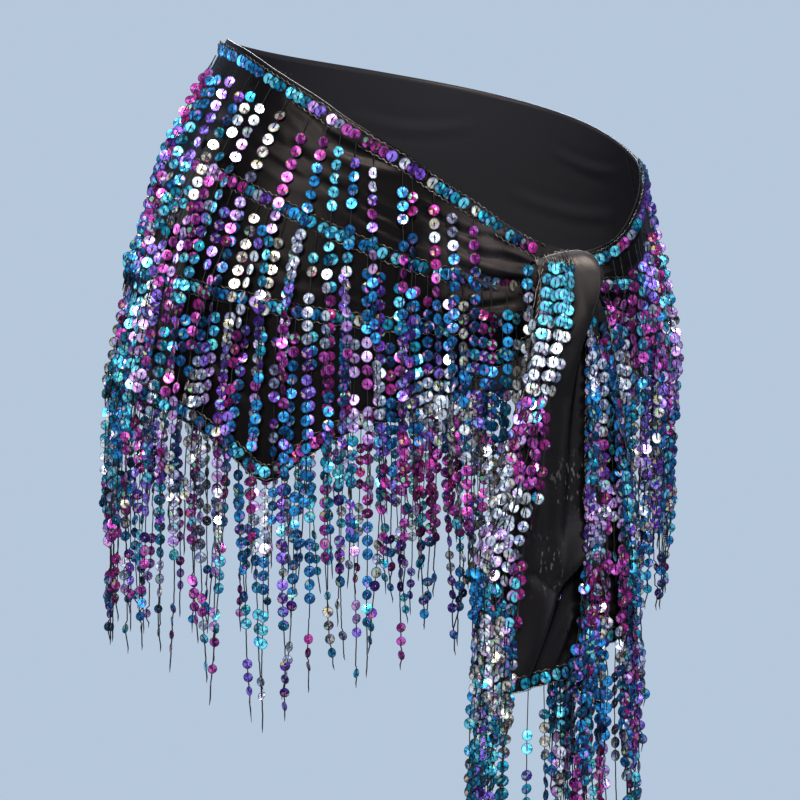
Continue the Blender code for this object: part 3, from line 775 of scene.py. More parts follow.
# out of a row's strands: on the cloth, then one layer further for each row that they pass
def strandsOut(row, angle, height):
    out = layers["strandsOut"] + 0 * height
    clear = layers["bandHalf"] + layers["gap"]
    layer = between(layers["layer"], layers["leftLayer"], plateau(angle, *layers["onLeft"]))
    for below in range(row + 1, 5):
        stop = rowHeight(below, angle) + clear
        room = rowHeight(below - 1, angle) - clear - stop
        start = stop + np.minimum(layers["ramp"], layers["rampShare"] * room)
        out = out + layer * np.clip((start - height) / (start - stop), 0, 1)
    if row == 1:
        fadeFrom = rowHeight(2, angle) - layers["bandHalf"]
        fadeTo = rowHeight(3, angle) + layers["bandHalf"]
        out = out + foldHeight(angle) * np.clip((height - fadeTo) / (fadeFrom - fadeTo), 0, 1)
    return out + strand["inside"]


# how far along a path of points each one lies
def runLength(path):
    return np.concatenate([[0], np.cumsum(np.linalg.norm(np.diff(path, axis=0), axis=1))])


# roots along a row's lower edge, one for each pitch of its real length
def rowRoots(row, stretch, start, stop):
    angles = np.linspace(start, stop, 600)
    run = runLength(onHip(angles, rowHeight(row, angles) - layers["bandHalf"], 3.0))
    pitch = strand["frontPitch" if stretch == "front" else "pitch"][row]
    if stretch == "left" and row < 3:
        run = run + strand["crowd"] * np.minimum(run, strand["crowdOver"])
    count = int(run[-1] / pitch)
    places = (np.arange(count) + 0.5) * run[-1] / count
    stray = strand["rootStray"]
    places = places + random.uniform(-stray, stray, count) * pitch
    return np.interp(places, run, angles)


# a path down the hip form: each step goes down, keeps its x and y and slides out onto the
# wider form below. On the right side it keeps its angle instead, and leans a little further
# with the spread of the hip
def hangDown(angle, height, steps):
    angles, heights = [angle], [height]
    for _ in range(steps):
        here = onHip(angle, height, 0.0)
        drop = np.full_like(height, strand["step"])
        for _ in range(2):
            lower = height - drop
            width, depth, middle = hipSection(angle, lower, 0.0)
            turned = np.degrees(np.arctan2((here[:, 0] - middle) / width, -here[:, 1] / depth))
            turned = angle + (turned - angle + 180) % 360 - 180
            side = smoothStep(-np.sin(np.radians(angle)), *strand["rightSide"])
            spread = smoothStep(lower, strand["leanEnd"], strand["leanBelow"])
            leaning = angle - strand["lean"] * np.cos(np.radians(angle)) * drop * spread
            turned = between(turned, leaning, side)
            length = np.linalg.norm(onHip(turned, lower, 0.0) - here, axis=1)
            drop = drop * strand["step"] / length
        angle, height = turned, lower
        angles.append(angle)
        heights.append(height)
    return np.stack(angles, 1), np.stack(heights, 1)


# a path with a point at every step, read at places in mm
def sampleAlong(path, places):
    places = np.clip(places / strand["step"], 0, path.shape[1] - 1.001)
    first = places.astype(int)
    share = places - first
    each = np.arange(len(path))[:, None]
    if path.ndim == 3:
        share = share[..., None]
    return path[each, first] * (1 - share) + path[each, first + 1] * share


# groups of neighbouring strands run together towards their tips, and all sway a little;
# gather is how many mm each one moves towards the middle of its group
def sideways(count, down, gather, largest):
    sizes = random.integers(1, largest + 1, count)
    group = np.repeat(np.arange(count), sizes)[:count]
    index = np.arange(count)
    middle = np.array([index[group == g].mean() for g in group]) if count else index
    pull = gather * (middle - index) * random.uniform(*strand["gatherStray"], count)
    share = down / strand["length"]
    lateral = pull[:, None] * share**strand["gatherPower"]
    phase, bend = random.uniform(0, 2 * np.pi, (2, count, 1))
    lateral += strand["sway"] * share * np.sin(share * (3 + 2 * np.sin(bend)) + phase)
    lateral += strand["ripple"] * share * np.sin(share * 19 + bend)
    stray = (random.random(count) < strand["strays"]) * random.normal(
        0, strand["strayReach"], count)
    return lateral + stray[:, None] * share**strand["strayPower"]


# where discs hang on each strand, in mm from its top, and how far its tip is; places past the
# end of a short strand are drawn together in its bare tip
def discPlaces(kind, discsFrom, discCount):
    count = len(discsFrom)
    shorter = random.random((count, 1))**strand["shorterPower"]
    shorter = strand["shorter"].get(kind, 0.05) * shorter
    places = discsFrom[:, None] + strand["firstDisc"] + strand["discPitch"] * np.arange(discCount)
    places = places * random.uniform(*strand["stretch"], (count, 1))
    tips = strand["length"] * (1.0 - shorter)
    over = np.clip(places - (tips - strand["bareTip"]), 0, None)
    hangs = over == 0
    return np.where(hangs, places, tips - 4.0 + 3.0 * over / (over + 20.0)), hangs, tips


# how each disc is turned: a slow twist along the strand and a little of its own
def discYaw(places, around):
    single = len(places), 1
    phase, wave = random.uniform(0, 2 * np.pi, (2, *single))
    length = strand["twist"] + strand["twistSpread"] * np.sin(wave)
    twist = random.uniform(*strand["twistStray"], single) * np.sin(places / length + phase)
    twist = twist + strand["ownTurn"] * random.normal(size=places.shape)
    yaw = np.radians(between(*strand["yaw"], places / strand["length"])) * twist
    side = plateau(around, *strand["onLeft"]) - plateau(around, *strand["onRight"])
    return yaw + np.radians(strand["turned"]) * side


# which discs are there: more and more runs are left out on the way down
def discsKept(places, kind):
    single = len(places), 1
    runs = random.uniform(*bare["runs"], single)
    wave = np.sin(2 * np.pi * (places / runs + random.random(single)))
    wave = wave + bare["stray"] * random.normal(size=places.shape)
    share = np.clip(places / strand["length"] * bare["sooner"], 0, 1)
    return wave > between(bare["from"], bare["to"][kind], share)


# the threads run behind the discs, nearest to each one at its hole
def strandThreads(path, tips, centres, up, facing, face, hangs):
    reach = np.where(hangs, *strand["holdReach"])[..., None]
    behind = facing * strand["behind"]
    parts = np.stack([centres + up * reach - behind, centres - facing * strand["inHole"],
                      centres - up * reach - behind], 2)
    top = sampleAlong(path, np.array([[0.0, strand["bareTop"] * 0.5]]) + 0 * tips)
    threads = np.concatenate([top, parts.reshape(len(path), -1, 3), sampleAlong(path, tips)], 1)
    steps = threads.shape[1]
    reference = np.repeat(np.concatenate([face[:, :1], face], 1), 3, axis=1)[:, :steps]
    radius = np.tile(np.linspace(*strand["threadRadius"], steps), (len(path), 1))
    radius[:, -1] = strand["tipRadius"]
    return tubeMesh(threads, radius, 3, reference)


# strands at a place, along paths given as angle, height and out at every step
def makeStrands(place, angles, heights, outs, kind, discsFrom, discCount=strand["discs"]):
    count, steps = angles.shape
    down = np.arange(steps) * strand["step"]
    angles = angles + strand["degreesPerMm"] * sideways(
        count, down[None, :], strand["gather"].get(kind, 2.0), strand["group"].get(kind, 3))
    outs = outs + random.uniform(*strand["outBy"], count)[:, None]
    places, hangs, tips = discPlaces(kind, discsFrom, discCount)
    last = np.arange(count), hangs.sum(1) - 1
    around, level = sampleAlong(angles, places), sampleAlong(heights, places)
    yaw = discYaw(places, around)
    yaw[last] = np.radians(random.uniform(*strand["lastTurn"], count))
    flipped = random.random(places.shape) < strand["flipped"]
    tilt = np.radians(strand["tilt"]) * random.normal(size=places.shape)
    kept = discsKept(places, kind)
    kept[last] |= random.random(count) < strand["lastKept"]
    kept &= hangs

    path, normal = onHip(angles, heights, 0.0), outward(angles, heights)
    path = path + normal * outs[..., None]
    push = np.clip(disc["radius"] * np.abs(np.sin(yaw)) - strand["rimRoom"], 0,
                   strand["mostPush"]) * kept
    normal = sampleAlong(normal, places)
    centres = sampleAlong(path, places) + normal * push[..., None]
    up = unit(sampleAlong(path, places - 2) - sampleAlong(path, places + 2))
    side = unit(np.cross(up, normal))
    face = np.cross(side, up)
    across, facing = turnPair(side, face, yaw)
    discUp, facing = turnPair(up, facing, tilt)
    tube = strandThreads(path, tips, centres, up, facing, face, hangs)

    hue, look = chooseHues(around, level, kind), chooseLooks(around, level)
    small = strand["smallTips"] * smoothStep(places / strand["length"], *strand["smallFrom"])
    size = random.uniform(*strand["sizes"], places.shape) - small * (kind in (3, 4))
    sign = np.where(flipped, -1.0, 1.0)[..., None]
    discs = discMesh(*(part[kept] for part in (centres, across, sign * discUp, sign * facing,
                                               hue, look, size)))
    return makeTrim(f"strands_{place}", f"fringe_{place}", discs, [(tube, 1)],
                    [strandFilm, thread])


# front strands near the knot are few, because the gathered cloth shows between rows 1 and 2;
# on its other side the first discs come out late, below the soft fold of the hip
sparse = {"stop": 14.0, "from": 1.0, "every": 3}
late = {"angles": (78.0, 60.0), "by": 5.0}
stepsDown = int(strand["length"] / strand["step"]) + 1
for row in (1, 2, 3, 4):
    for stretch, (start, stop) in strandStretches.items():
        upper = row == 1 and stretch == "front"
        roots = rowRoots(row, stretch, start, sparse["stop"] if upper else stop)
        thin = (roots > sparse["from"]) & (np.arange(len(roots)) % sparse["every"] > 0)
        roots = roots[~(thin & upper)]
        top = rowHeight(row, roots) - layers["bandHalf"] + 0.5
        angles, heights = hangDown(roots, top, stepsDown)
        covered = row == 1 and stretch == "left"
        first = strand["bareTop"] + smoothStep(roots, *late["angles"]) * covered * late["by"]
        first = first + random.uniform(*strand["topStray"], len(roots))
        makeStrands(f"row{row}_{stretch}", angles, heights,
                                            strandsOut(row, angles, heights), row, first)


# cloth wound on the hips: how far out, how thick, how finely drawn, and its drag lines
cloth = {
    "out": 1.0, "wall": 1.5, "thin": 0.9, "edge": 1.5, "step": 3.6, "seam": -0.02,
    "bow": 0.06, "deepen": 1.5, "swell": 0.45, "swellAt": 1.9,
    # drag lines: from angle, height to angle, height, half width, depth
    "creases": [
        (-60, 34, -22, -18, 3.0, 0.7), (-52, 6, -16, -30, 2.4, 0.6),
        (-70, 20, -44, 12, 2.6, 0.6), (-40, 6, -8, -48, 2.2, 0.7),
        (-34, -12, 2, -66, 2.0, 0.8), (-22, -28, 14, -70, 1.8, 0.7),
        (-90, 30, -66, -2, 3.2, 0.7), (-64, -34, -36, -72, 2.6, 0.6),
        (-48, -52, -14, -92, 2.2, 0.6), (-30, -74, 6, -98, 2.0, 0.6),
        (-56, -96, -38, -150, 3.4, 0.6), (-20, -120, -6, -150, 3.0, 0.5),
        (-6, -38, 17, -59, 2.4, 2.7), (-2, -52, 18, -70, 2.4, 3.0),
        (0, -67, 17, -81, 2.4, 3.0), (-4, -92, 16, -92, 2.6, 2.3),
        (-30, 30, -12, 10, 2.6, 1.6), (-36, 14, -10, -12, 2.8, 1.5),
        (-44, 30, -28, 10, 2.4, 1.3), (30, -64, 56, -50, 3.0, 1.6),
        (34, -84, 60, -72, 3.0, 1.4), (32, -74, 60, -50, 2.6, 0.7),
        (36, -90, 72, -78, 2.4, 0.6), (44, -98, 84, -60, 2.2, 0.5),
        (96, -12, 128, 2, 3.0, 0.6), (104, -40, 142, -24, 3.4, 0.7),
        (122, -66, 160, -46, 3.0, 0.6), (150, 20, 186, 26, 3.2, 0.6),
        (168, -8, 206, 4, 3.0, 0.7), (184, -44, 222, -30, 3.4, 0.6),
        (214, 34, 246, 26, 2.8, 0.6), (226, -20, 256, -36, 3.0, 0.6),
        (140, -100, 168, -86, 3.0, 0.5), (200, -96, 232, -112, 3.2, 0.5),
    ],
}


# for points on the form and a line from one angle and height to another: how far along it they
# lie (0 to 1), how far beside it and on which side, their distance, and its length
def besideLine(angle, height, ends):
    fromAngle, fromHeight, toAngle, toHeight = ends
    line = np.array([(toAngle - fromAngle) * mmPerDegree, toHeight - fromHeight])
    x, y = (angle - fromAngle) * mmPerDegree, height - fromHeight
    along = np.clip((x * line[0] + y * line[1]) / (line @ line), 0, 1)
    distance = np.hypot(x - along * line[0], y - along * line[1])
    length = np.linalg.norm(line)
    return along, (x * line[1] - y * line[0]) / length, distance, length


# soft troughs: depth * exp(-(distance / width)^2) beside each line, which bows a little, with
# a low swell on each side, and fades at its ends
def creaseDepth(angle, height):
    depth = np.zeros(np.broadcast(angle, height).shape)
    for *ends, width, deep in cloth["creases"]:
        along, side, distance, length = besideLine(angle, height, ends)
        side = side - cloth["bow"] * length * np.sin(np.pi * along)
        distance = np.maximum(np.abs(side), np.where((along <= 0) | (along >= 1), distance, 0))
        swell = bell((distance - cloth["swellAt"] * width) / width)
        shape = bell(distance / width) - cloth["swell"] * swell
        depth += cloth["deepen"] * deep * shape * np.sqrt(np.sin(np.pi * along) + 1e-9)
    return depth


# hip form + cloth + lift - creases, over a grid of angles and heights from row 1 to row 4
def makeWound(stretch):
    start, stop = stretches[stretch]
    columns = int((stop - start) / (cloth["step"] * strand["degreesPerMm"]))
    angle = np.linspace(start + cloth["seam"], stop - cloth["seam"], columns)[:, None]
    top = rowHeight(1, angle) + layers["bandHalf"] + cloth["edge"]
    bottom = rowHeight(4, angle) - layers["bandHalf"] - cloth["edge"]
    rowsDown = int((top - bottom).max() / cloth["step"])
    height = between(top, bottom, np.linspace(0, 1, rowsDown))
    angle = angle + 0 * height
    lift = clothLift(angle, height) - creaseDepth(angle, height)
    outer = onHip(angle, height, cloth["out"] + cloth["wall"] + lift)
    inner = onHip(angle, height, cloth["out"] + cloth["wall"] - cloth["thin"] + lift)
    return claim(makeWall(f"cloth_{stretch}", outer, inner, satin), f"wrap_{stretch}")


wraps = {stretch: makeWound(stretch) for stretch in stretches}
print("wound cloth made")


# knot: pleated ovals swept round the hip, narrow at both ends
knot = {
    "from": 16.0, "to": 31.5, "out": 15.0, "height": -77.0, "halfDepth": 7.2,
    "halfHeight": 14.0, "endSize": 0.45, "fullness": 0.9, "clear": 1.0,
    # pleats: turn (degrees), half width, depth
    "pleats": [(8, 9, 0.16), (38, 7, 0.11), (66, 8, 0.18), (97, 6, 0.12), (128, 9, 0.17),
               (170, 12, 0.12), (205, 9, 0.15), (240, 8, 0.12), (276, 9, 0.17), (310, 8, 0.12),
               (338, 7, 0.15)],
    "twist": 34.0, "wander": 4.0, "sections": 44, "around": 96,
}


# (out, height) = middle + (halfDepth * cos t, halfHeight * sin t) * size, where size is a
# sine along the knot less its pleats
def makeKnot():
    sections, around = knot["sections"], knot["around"]
    along = np.linspace(0, 1, sections)[:, None]
    turn = np.linspace(0, 360, around, endpoint=False)[None, :]
    size = between(knot["endSize"], 1, np.sin(np.pi * along)**knot["fullness"])
    groove = 0 * turn + 0 * along
    for place, width, depth in knot["pleats"]:
        gap = (turn + knot["twist"] * along - place + 180) % 360 - 180
        gap = gap + knot["wander"] * np.sin(7 * along + place)
        groove = groove + depth * bell(gap / width)
    size = size * (1 - groove)
    angle = between(knot["from"], knot["to"], along)
    out = knot["out"] + knot["halfDepth"] * size * np.cos(np.radians(turn))
    height = knot["height"] + knot["halfHeight"] * size * np.sin(np.radians(turn))
    rings = onHip(angle + 0 * turn, height, out)
    points = np.concatenate([rings.reshape(-1, 3), rings[[0, -1]].mean(axis=1)])
    index = np.arange(sections * around).reshape(sections, around)
    after = np.roll(index, -1, axis=1)
    walls = np.stack([index[:-1], index[1:], after[1:], after[:-1]], -1).reshape(-1, 4)
    first = np.stack([after[0], np.full(around, len(points) - 2), index[0]], 1)
    last = np.stack([index[-1], np.full(around, len(points) - 1), after[-1]], 1)
    piece = makePiece("knot_roll", points, [
        (faces, 0, True, None) for faces in (walls, first, last)], [satin])
    return claim(piece, "knot")


knotRoll = makeKnot()

# the two hanging ends: edges, fold and its lift at each height, in degrees and millimetres
frontTail = {
    "height": [-60, -90, -120, -150, -180, -210, -240, -270, -300, -325],
    "left":   [16.0, 15.0, 13.6, 12.2, 10.2, 8.2, 6.6, 5.6, 5.0, 4.8],
    "fold":   [27.2, 26.0, 22.8, 21.8, 21.4, 21.2, 20.5, 19.5, 17.8, 17.0],
    "right":  [28.0, 27.8, 27.8, 28.0, 28.3, 28.6, 28.9, 29.2, 29.6, 30.0],
    "lift":   [7.0, 9.6, 7.4, 2.4, 1.2, 1.0, 0.6, 0.4, 0.4, 0.4],
    "ends": (-325.0, -311.0), "out": 23.2, "overKnot": True,
    "crest": (0.76, 6.5, 3.6),               # its highest place over the knot, droop on each side
    "foldWidth": (3.7, 0.9),                 # left flank wide, right flank steep
    # hanging folds: from angle, height to angle, height, half width (upper and lower
    # side), lift
    "creases": [
        (29.5, -228, 19.6, -262, (13.0, 2.6), 6.0), (20.4, -258, 12.2, -328, (14.0, 2.6), 6.4),
        (20.6, -150, 19.6, -236, 4.0, 0.9), (25.4, -126, 25.8, -230, 3.0, 1.0),
        (24.6, -272, 17.0, -322, (3.4, 2.0), 2.2), (27.0, -268, 21.6, -318, (3.0, 1.8), 2.0),
        (12.5, -250, 9.5, -312, 3.6, 0.8), (17.5, -200, 14.6, -262, 3.0, 0.9),
        (23.4, -62, 24.0, -104, 2.2, 0.8), (20.6, -64, 20.8, -98, 1.8, 0.6),
    ],
}
rearTail = {
    "height": [-92, -103, -150, -180, -240, -300],
    "left":   [24.0, 23.6, 23.0, 22.5, 22.0, 21.5],
    "fold":   [27.5, 27.7, 28.5, 29.5, 31.0, 32.0],
    "right":  [31.0, 32.0, 35.5, 38.0, 40.5, 42.0],
    "lift":   [0.0] * 6,
    "ends": (-300.0, -296.0), "out": 16.3, "overKnot": False, "tuck": 1.8,
    "foldWidth": (2.6, 2.6),
    "creases": [(30.0, -120, 31.0, -260, 4.0, 0.9), (35.0, -150, 37.0, -270, 3.6, 0.8),
                (26.0, -130, 25.0, -250, 3.2, 0.7)],
}
tailOf = {"front": frontTail, "rear": rearTail}


# the middle line of a tail: round the knot where it passes over it, then straight down
def tailLine(tail, count):
    if not tail["overKnot"]:
        top = tail["height"][0]
        heights = np.linspace(top, min(tail["ends"]), count)
        return heights, tail["out"] - tail["tuck"] * smoothStep(heights, top - 12, top)
    turn = np.radians(np.linspace(150, 0, 30))
    heights = knot["height"] + (knot["halfHeight"] + knot["clear"]) * np.sin(turn)
    outs = knot["out"] + (knot["halfDepth"] + knot["clear"]) * np.cos(turn)
    down = np.linspace(knot["height"], min(tail["ends"]), count - 29)[1:]
    return np.append(heights, down), np.append(outs, tail["out"] + 0 * down)


# left edge, fold, right edge and lift of the fold at some heights, one column each
def tailEdges(tail, heights):
    return [readCurve(tail["height"], tail[key], heights)[:, None]
            for key in ("left", "fold", "right", "lift")]


# how far a tail's face stands out at an angle and height beyond its middle line: both flanks
# of the fold are straight slopes with a rounded edge and foot
def tailRelief(tail, angle, height, fold, lift):
    flank = np.where(angle < fold, *tail["foldWidth"])
    slope = 1 - np.abs(angle - fold) / flank
    relief = lift * 0.1 * (np.logaddexp(0, slope / 0.1) - np.logaddexp(0, (slope - 0.9) / 0.1))
    for *ends, width, high in tail["creases"]:
        along, side, distance, _ = besideLine(angle, height, ends)
        upper, lower = np.broadcast_to(width, 2)
        reach = np.where(side < 0, lower, upper)
        relief = relief + high * bell(distance / reach) * np.sin(np.pi * along)**0.5
    return relief


# a tail's face: from its left to its right edge, down to its slanted end, middle line out
# + relief
def tailGrid(tail, rowsDown, columns):
    heights, outs = tailLine(tail, rowsDown)
    left, fold, right, lift = tailEdges(tail, heights)
    across = np.linspace(0, 1, columns)[None, :]
    angle = between(left, right, across)
    end = between(*tail["ends"], across)
    shrink = np.clip((knot["height"] - heights) / (knot["height"] - min(tail["ends"])), 0, 1)
    height = heights[:, None] + (end - min(tail["ends"])) * shrink[:, None]
    if tail["overKnot"]:
        height = height - crestDroop(tail, across) * np.clip(
            (heights[:, None] - knot["height"]) / knot["halfHeight"], 0, 1)
    return angle, height, outs[:, None] + tailRelief(tail, angle, height, fold, lift)


# how far the top of a tail hangs below its highest place, 0 to 1 across it
def crestDroop(tail, across):
    place, left, right = tail["crest"]
    return np.where(across < place, left * (np.clip(place - across, 0, 1) / place)**1.5,
                    right * (np.clip(across - place, 0, 1) / (1 - place))**1.5)


# the tail's face with the thickness of the cloth behind it
def makeTail(side, tail):
    angle, height, out = tailGrid(tail, 130, 50)
    outer = onHip(angle, height, out + cloth["wall"])
    inner = onHip(angle, height, out + cloth["wall"] - cloth["thin"])
    grid = [part.transpose(1, 0, 2) for part in (outer, inner)]
    return claim(makeWall(f"tail_cloth_{side}", grid[0], grid[1], paintedSheenSatin),
                 f"tail_{side}")


tails = {side: makeTail(side, tail) for side, tail in tailOf.items()}
print("knot and tails made")


# where the strands of each side edge lie: their left and right limits down the tail, and the
# height of the first and last root
frontHang = {"out": 26.1, "deep": 4.5}
rearHang = {"roots": (-108.0, -290.0), "out": 19.2, "deep": 3.5, "count": 20, "settle": 60.0}
tailFringe = {
    ("front", "left"): {
        "height": [-70, -78, -100, -125, -150, -185, -215, -240, -275, -325, -370, -430, -478],
        "start":  [17.4, 17.0, 16.0, 14.6, 12.6, 9.4, 6.4, 4.4, 3.4, 3.0, 3.0, 3.0, 3.2],
        "stop":   [23.0, 23.0, 22.0, 20.6, 18.4, 17.6, 16.4, 14.4, 13.2, 12.4, 11.0, 9.0, 6.5],
        "roots": (-76.0, -318.0), "count": 32, "settle": 60.0, **frontHang,
        "topShares": [-0.62, 0.05, 0.24, 0.38, 0.55, 0.70, 0.84, 0.97]},
    ("front", "right"): {
        "height": [-84, -120, -200, -245, -285, -325, -370, -430, -470],
        "start":  [27.2, 27.0, 26.8, 26.6, 25.4, 24.0, 23.8, 24.4, 26.0],
        "stop":   [30.0, 30.6, 31.2, 31.6, 32.0, 32.0, 31.5, 31.0, 30.0],
        "roots": (-82.0, -308.0), "count": 27, "settle": 50.0, **frontHang},
    ("rear", "left"): {
        "height": [-112, -200, -300, -400, -452],
        "start":  [22.5, 21.0, 20.5, 21.0, 22.0],
        "stop":   [26.0, 26.5, 27.0, 26.0, 25.0], **rearHang},
    ("rear", "right"): {
        "height": [-112, -150, -200, -265, -330, -400, -455],
        "start":  [30.5, 32.5, 34.5, 36.0, 36.5, 37.0, 38.5],
        "stop":   [34.0, 37.0, 41.0, 43.0, 43.5, 43.0, 42.0], **rearHang},
}
tailHang = {
    "inset": {"left": 1.4, "right": -1.4}, "rootStray": 1.5, "topStray": (-2.0, 1.0),
    "spread": 0.92, "flat": 2.2, "outStray": 1.5, "firstDisc": (2.0, 9.0), "gathered": (-4.0, 3.0),
    # steps that spread neighbours over the reach and over its depth
    "shareStep": 0.618, "layerStep": 0.382,
    # below the tail's end
    "endCount": 6, "endStray": 0.2, "endFirstDisc": (12.0, 26.0), "endDiscs": 15,
}


# each strand leaves the band and moves over to its own share of the reach as it falls; the
# first ones start side by side across the top, where the trim is gathered over the knot
def hangTailSide(side, edge):
    reach, tail = tailFringe[side, edge], tailOf[side]
    count, stray = reach["count"], tailHang["rootStray"]
    topShares = np.array(reach.get("topShares", []))
    first = len(topShares)
    top = np.linspace(*reach["roots"], count) + random.uniform(-stray, stray, count)
    top[:first] = reach["height"][0] + random.uniform(*tailHang["topStray"], first)
    root = readCurve(tail["height"], tail[edge], top) + tailHang["inset"][edge]
    down = np.arange(stepsDown + 1) * strand["step"]
    heights = top[:, None] - down
    start, stop = (readCurve(reach["height"], reach[key], heights) for key in ("start", "stop"))
    width = stop - start
    share = np.arange(count) * tailHang["shareStep"] % 1
    share[:first] = np.clip(topShares, 0, 1)
    share = (0.5 + (share - 0.5) * tailHang["spread"])[:, None]
    settled = smoothStep(down, 0.0, reach["settle"])[None, :]
    firstShare = (root[:, None] - start[:, :1]) / width[:, :1]
    firstShare[:first, 0] = topShares
    angles = start + width * between(firstShare, share, settled)
    layer = (np.arange(count) * tailHang["layerStep"] % 1)[:, None]
    outs = reach["out"] + strand["inside"] + (reach["deep"] - tailHang["flat"]) * layer * settled
    outs = outs + random.uniform(0.0, tailHang["outStray"], count)[:, None]
    discsFrom = random.uniform(*tailHang["firstDisc"], count)
    discsFrom[:first] = random.uniform(*tailHang["gathered"], first)
    makeStrands(f"tail_{side}_{edge}", angles, heights, outs, "tail", discsFrom)


# strands straight down from a tail's slanted end
def hangTailEnd(side):
    tail, count, stray = tailOf[side], tailHang["endCount"], tailHang["endStray"]
    left, right = (readCurve(tail["height"], tail[key], min(tail["ends"]))
                   for key in ("left", "right"))
    places = (np.arange(count) + 0.5 + random.uniform(-stray, stray, count)) / count
    heights = between(*tail["ends"], places)[:, None] - np.arange(stepsDown + 1) * strand["step"]
    angles = between(left, right, places)[:, None] + 0 * heights
    makeStrands(f"tail_{side}_end", angles, heights, tail["out"] + strand["inside"] + 0 * heights,
                "end", random.uniform(*tailHang["endFirstDisc"], count), tailHang["endDiscs"])


for side, edge in tailFringe:
    hangTailSide(side, edge)
for side in tailOf:
    hangTailEnd(side)
print("tail strands made")


# sequin bands, in millimetres and degrees
band = {
    "half": 4.3, "onCloth": 0.3, "tailAngle": 3.2, "endAbove": 4.5,
    "discPitch": 5.5, "pitchStray": (0.92, 1.08), "gap": 3.4, "group": (3, 5), "size": 1.06,
    "lean": 15.0, "leftLean": -36.0, "leanStray": 5.0, "rockStray": 7.0,
    "above": 0.55, "discAbove": 0.6, "leaningAbove": 2.4,
    "threadRadius": 0.26, "stitchDeep": 0.7, "stitchOver": 0.25, "crossing": 2.2,
    "crossEnds": 0.5, "crossMiddle": 0.8,
    "chainWave": 4.4, "chainStep": 1.1, "chainSwing": 0.52, "chainDepth": 0.22,
    "chainRadius": 0.19, "chainFrom": 0.4, "litChainShareByKnot": 0.82,
    # how colours stray: along the band, another family, its deep hue
    "blur": 0.012, "stray": 0.14, "deep": 0.35,
}


# points on a path at distances along it
def readPath(path, run, places):
    return np.stack([np.interp(places, run, path[:, i]) for i in range(3)], -1)


# points at places along a band with three square directions: out of the cloth, along the band
# and down across it
def bandFrame(path, normal, run, places):
    face = unit(readPath(normal, run, places))
    ahead = unit(readPath(path, run, places + 1) - readPath(path, run, places - 1))
    return readPath(path, run, places), face, ahead, unit(np.cross(ahead, face))


# groups of overlapping discs, and the middle of the gap after each group
def bandPlaces(length):
    places, gaps = [], []
    place = band["half"]
    while place < length - band["half"]:
        for _ in range(random.integers(band["group"][0], band["group"][1] + 1)):
            places.append(place)
            place += band["discPitch"] * random.uniform(*band["pitchStray"])
        gaps.append(place - 0.5 * band["discPitch"] + 0.5 * band["gap"])
        place += band["gap"]
    return (np.array([p for p in places if p < length - band["half"]]),
            np.array([p for p in gaps if p < length - 3.0]))


# a twisted metal chain along both edges, of a light and a dark yarn; the light one may stop
# early, which paints shade on the chain where a band runs into shade by the knot
def bandChains(path, normal, run, lit):
    steps = np.arange(band["chainFrom"], run[-1] - band["chainFrom"], band["chainStep"])
    line, away = readPath(path, run, steps), unit(readPath(normal, run, steps))
    beside = unit(np.cross(unit(np.gradient(line, axis=0)), away))
    wave = 2 * np.pi * steps / band["chainWave"]
    tubes = []
    for turn, share, number in ((0.0, lit, 2), (np.pi, 1.0, 1)):
        swing = band["chainSwing"] * np.sin(wave + turn)
        depth = band["above"] + band["chainDepth"] * np.cos(wave + turn)
        lines = [line + beside * (edge * band["half"] + swing)[:, None] + away * depth[:, None]
                 for edge in (-1, 1)]
        shown = int(len(steps) * share)
        tubes.append((tubeMesh(np.stack(lines)[:, :shown], band["chainRadius"], 3,
                               away[None, :shown]), number))
    return tubes


# colours run along a band in stretches: place (0 to 1) and family, listed
bandColours = {
    (1, "front"): [(0.0, "blue"), (0.28, "cyan"), (0.40, "violet"), (0.46, "lilac"),
                   (0.52, "magenta"), (0.60, "violet"), (0.66, "silver"), (0.72, "cyan"),
                   (0.80, "silver"), (0.84, "cyan"), (0.90, "blue"), (0.95, "magenta")],
    # the last family of rows 2 and 3 in front is painted shade, where the bands run into shade by
    # the knot
    (2, "front"): [(0.0, "violet"), (0.22, "lilac"), (0.30, "magenta"), (0.40, "violet"),
                   (0.434, "blue"), (0.473, "cyan"), (0.60, "blue"), (0.63, "cyan"),
                   (0.78, "blue"), (0.84, "dusk")],
    (3, "front"): [(0.0, "cyan"), (0.30, "blue"), (0.41, "lilac"), (0.44, "cyan"),
                   (0.50, "blue"), (0.60, "cyan"), (0.70, "blue"), (0.8, "dusk")],
    (4, "front"): [(0.0, "cyan"), (0.24, "blue"), (0.36, "cyan"), (0.48, "magenta"),
                   (0.58, "silver"), (0.66, "blue"), (0.80, "cyan")],
    (1, "left"): [(0.0, "cyan"), (0.18, "magenta"), (0.30, "cyan"), (0.42, "violet"),
                  (0.7, "blue")],
    ("front", "left"): [(0.0, "lilac"), (0.5, "silver"), (0.7, "lilac")],
    ("front", "right"): [(0.0, "violet"), (0.5, "blue"), (0.8, "magenta")],
    ("front", "end"): [(0.0, "cyan"), (0.7, "blue")],
    ("rear", "left"): [(0.0, "blue"), (0.5, "violet")],
    ("rear", "right"): [(0.0, "blue"), (0.4, "cyan"), (0.7, "violet")],
    ("rear", "end"): [(0.0, "blue"), (0.5, "cyan")],
    "other": [(0.0, "cyan"), (0.14, "blue"), (0.28, "violet"), (0.40, "magenta"),
              (0.50, "silver"), (0.60, "cyan"), (0.76, "blue"), (0.88, "lilac")],
}


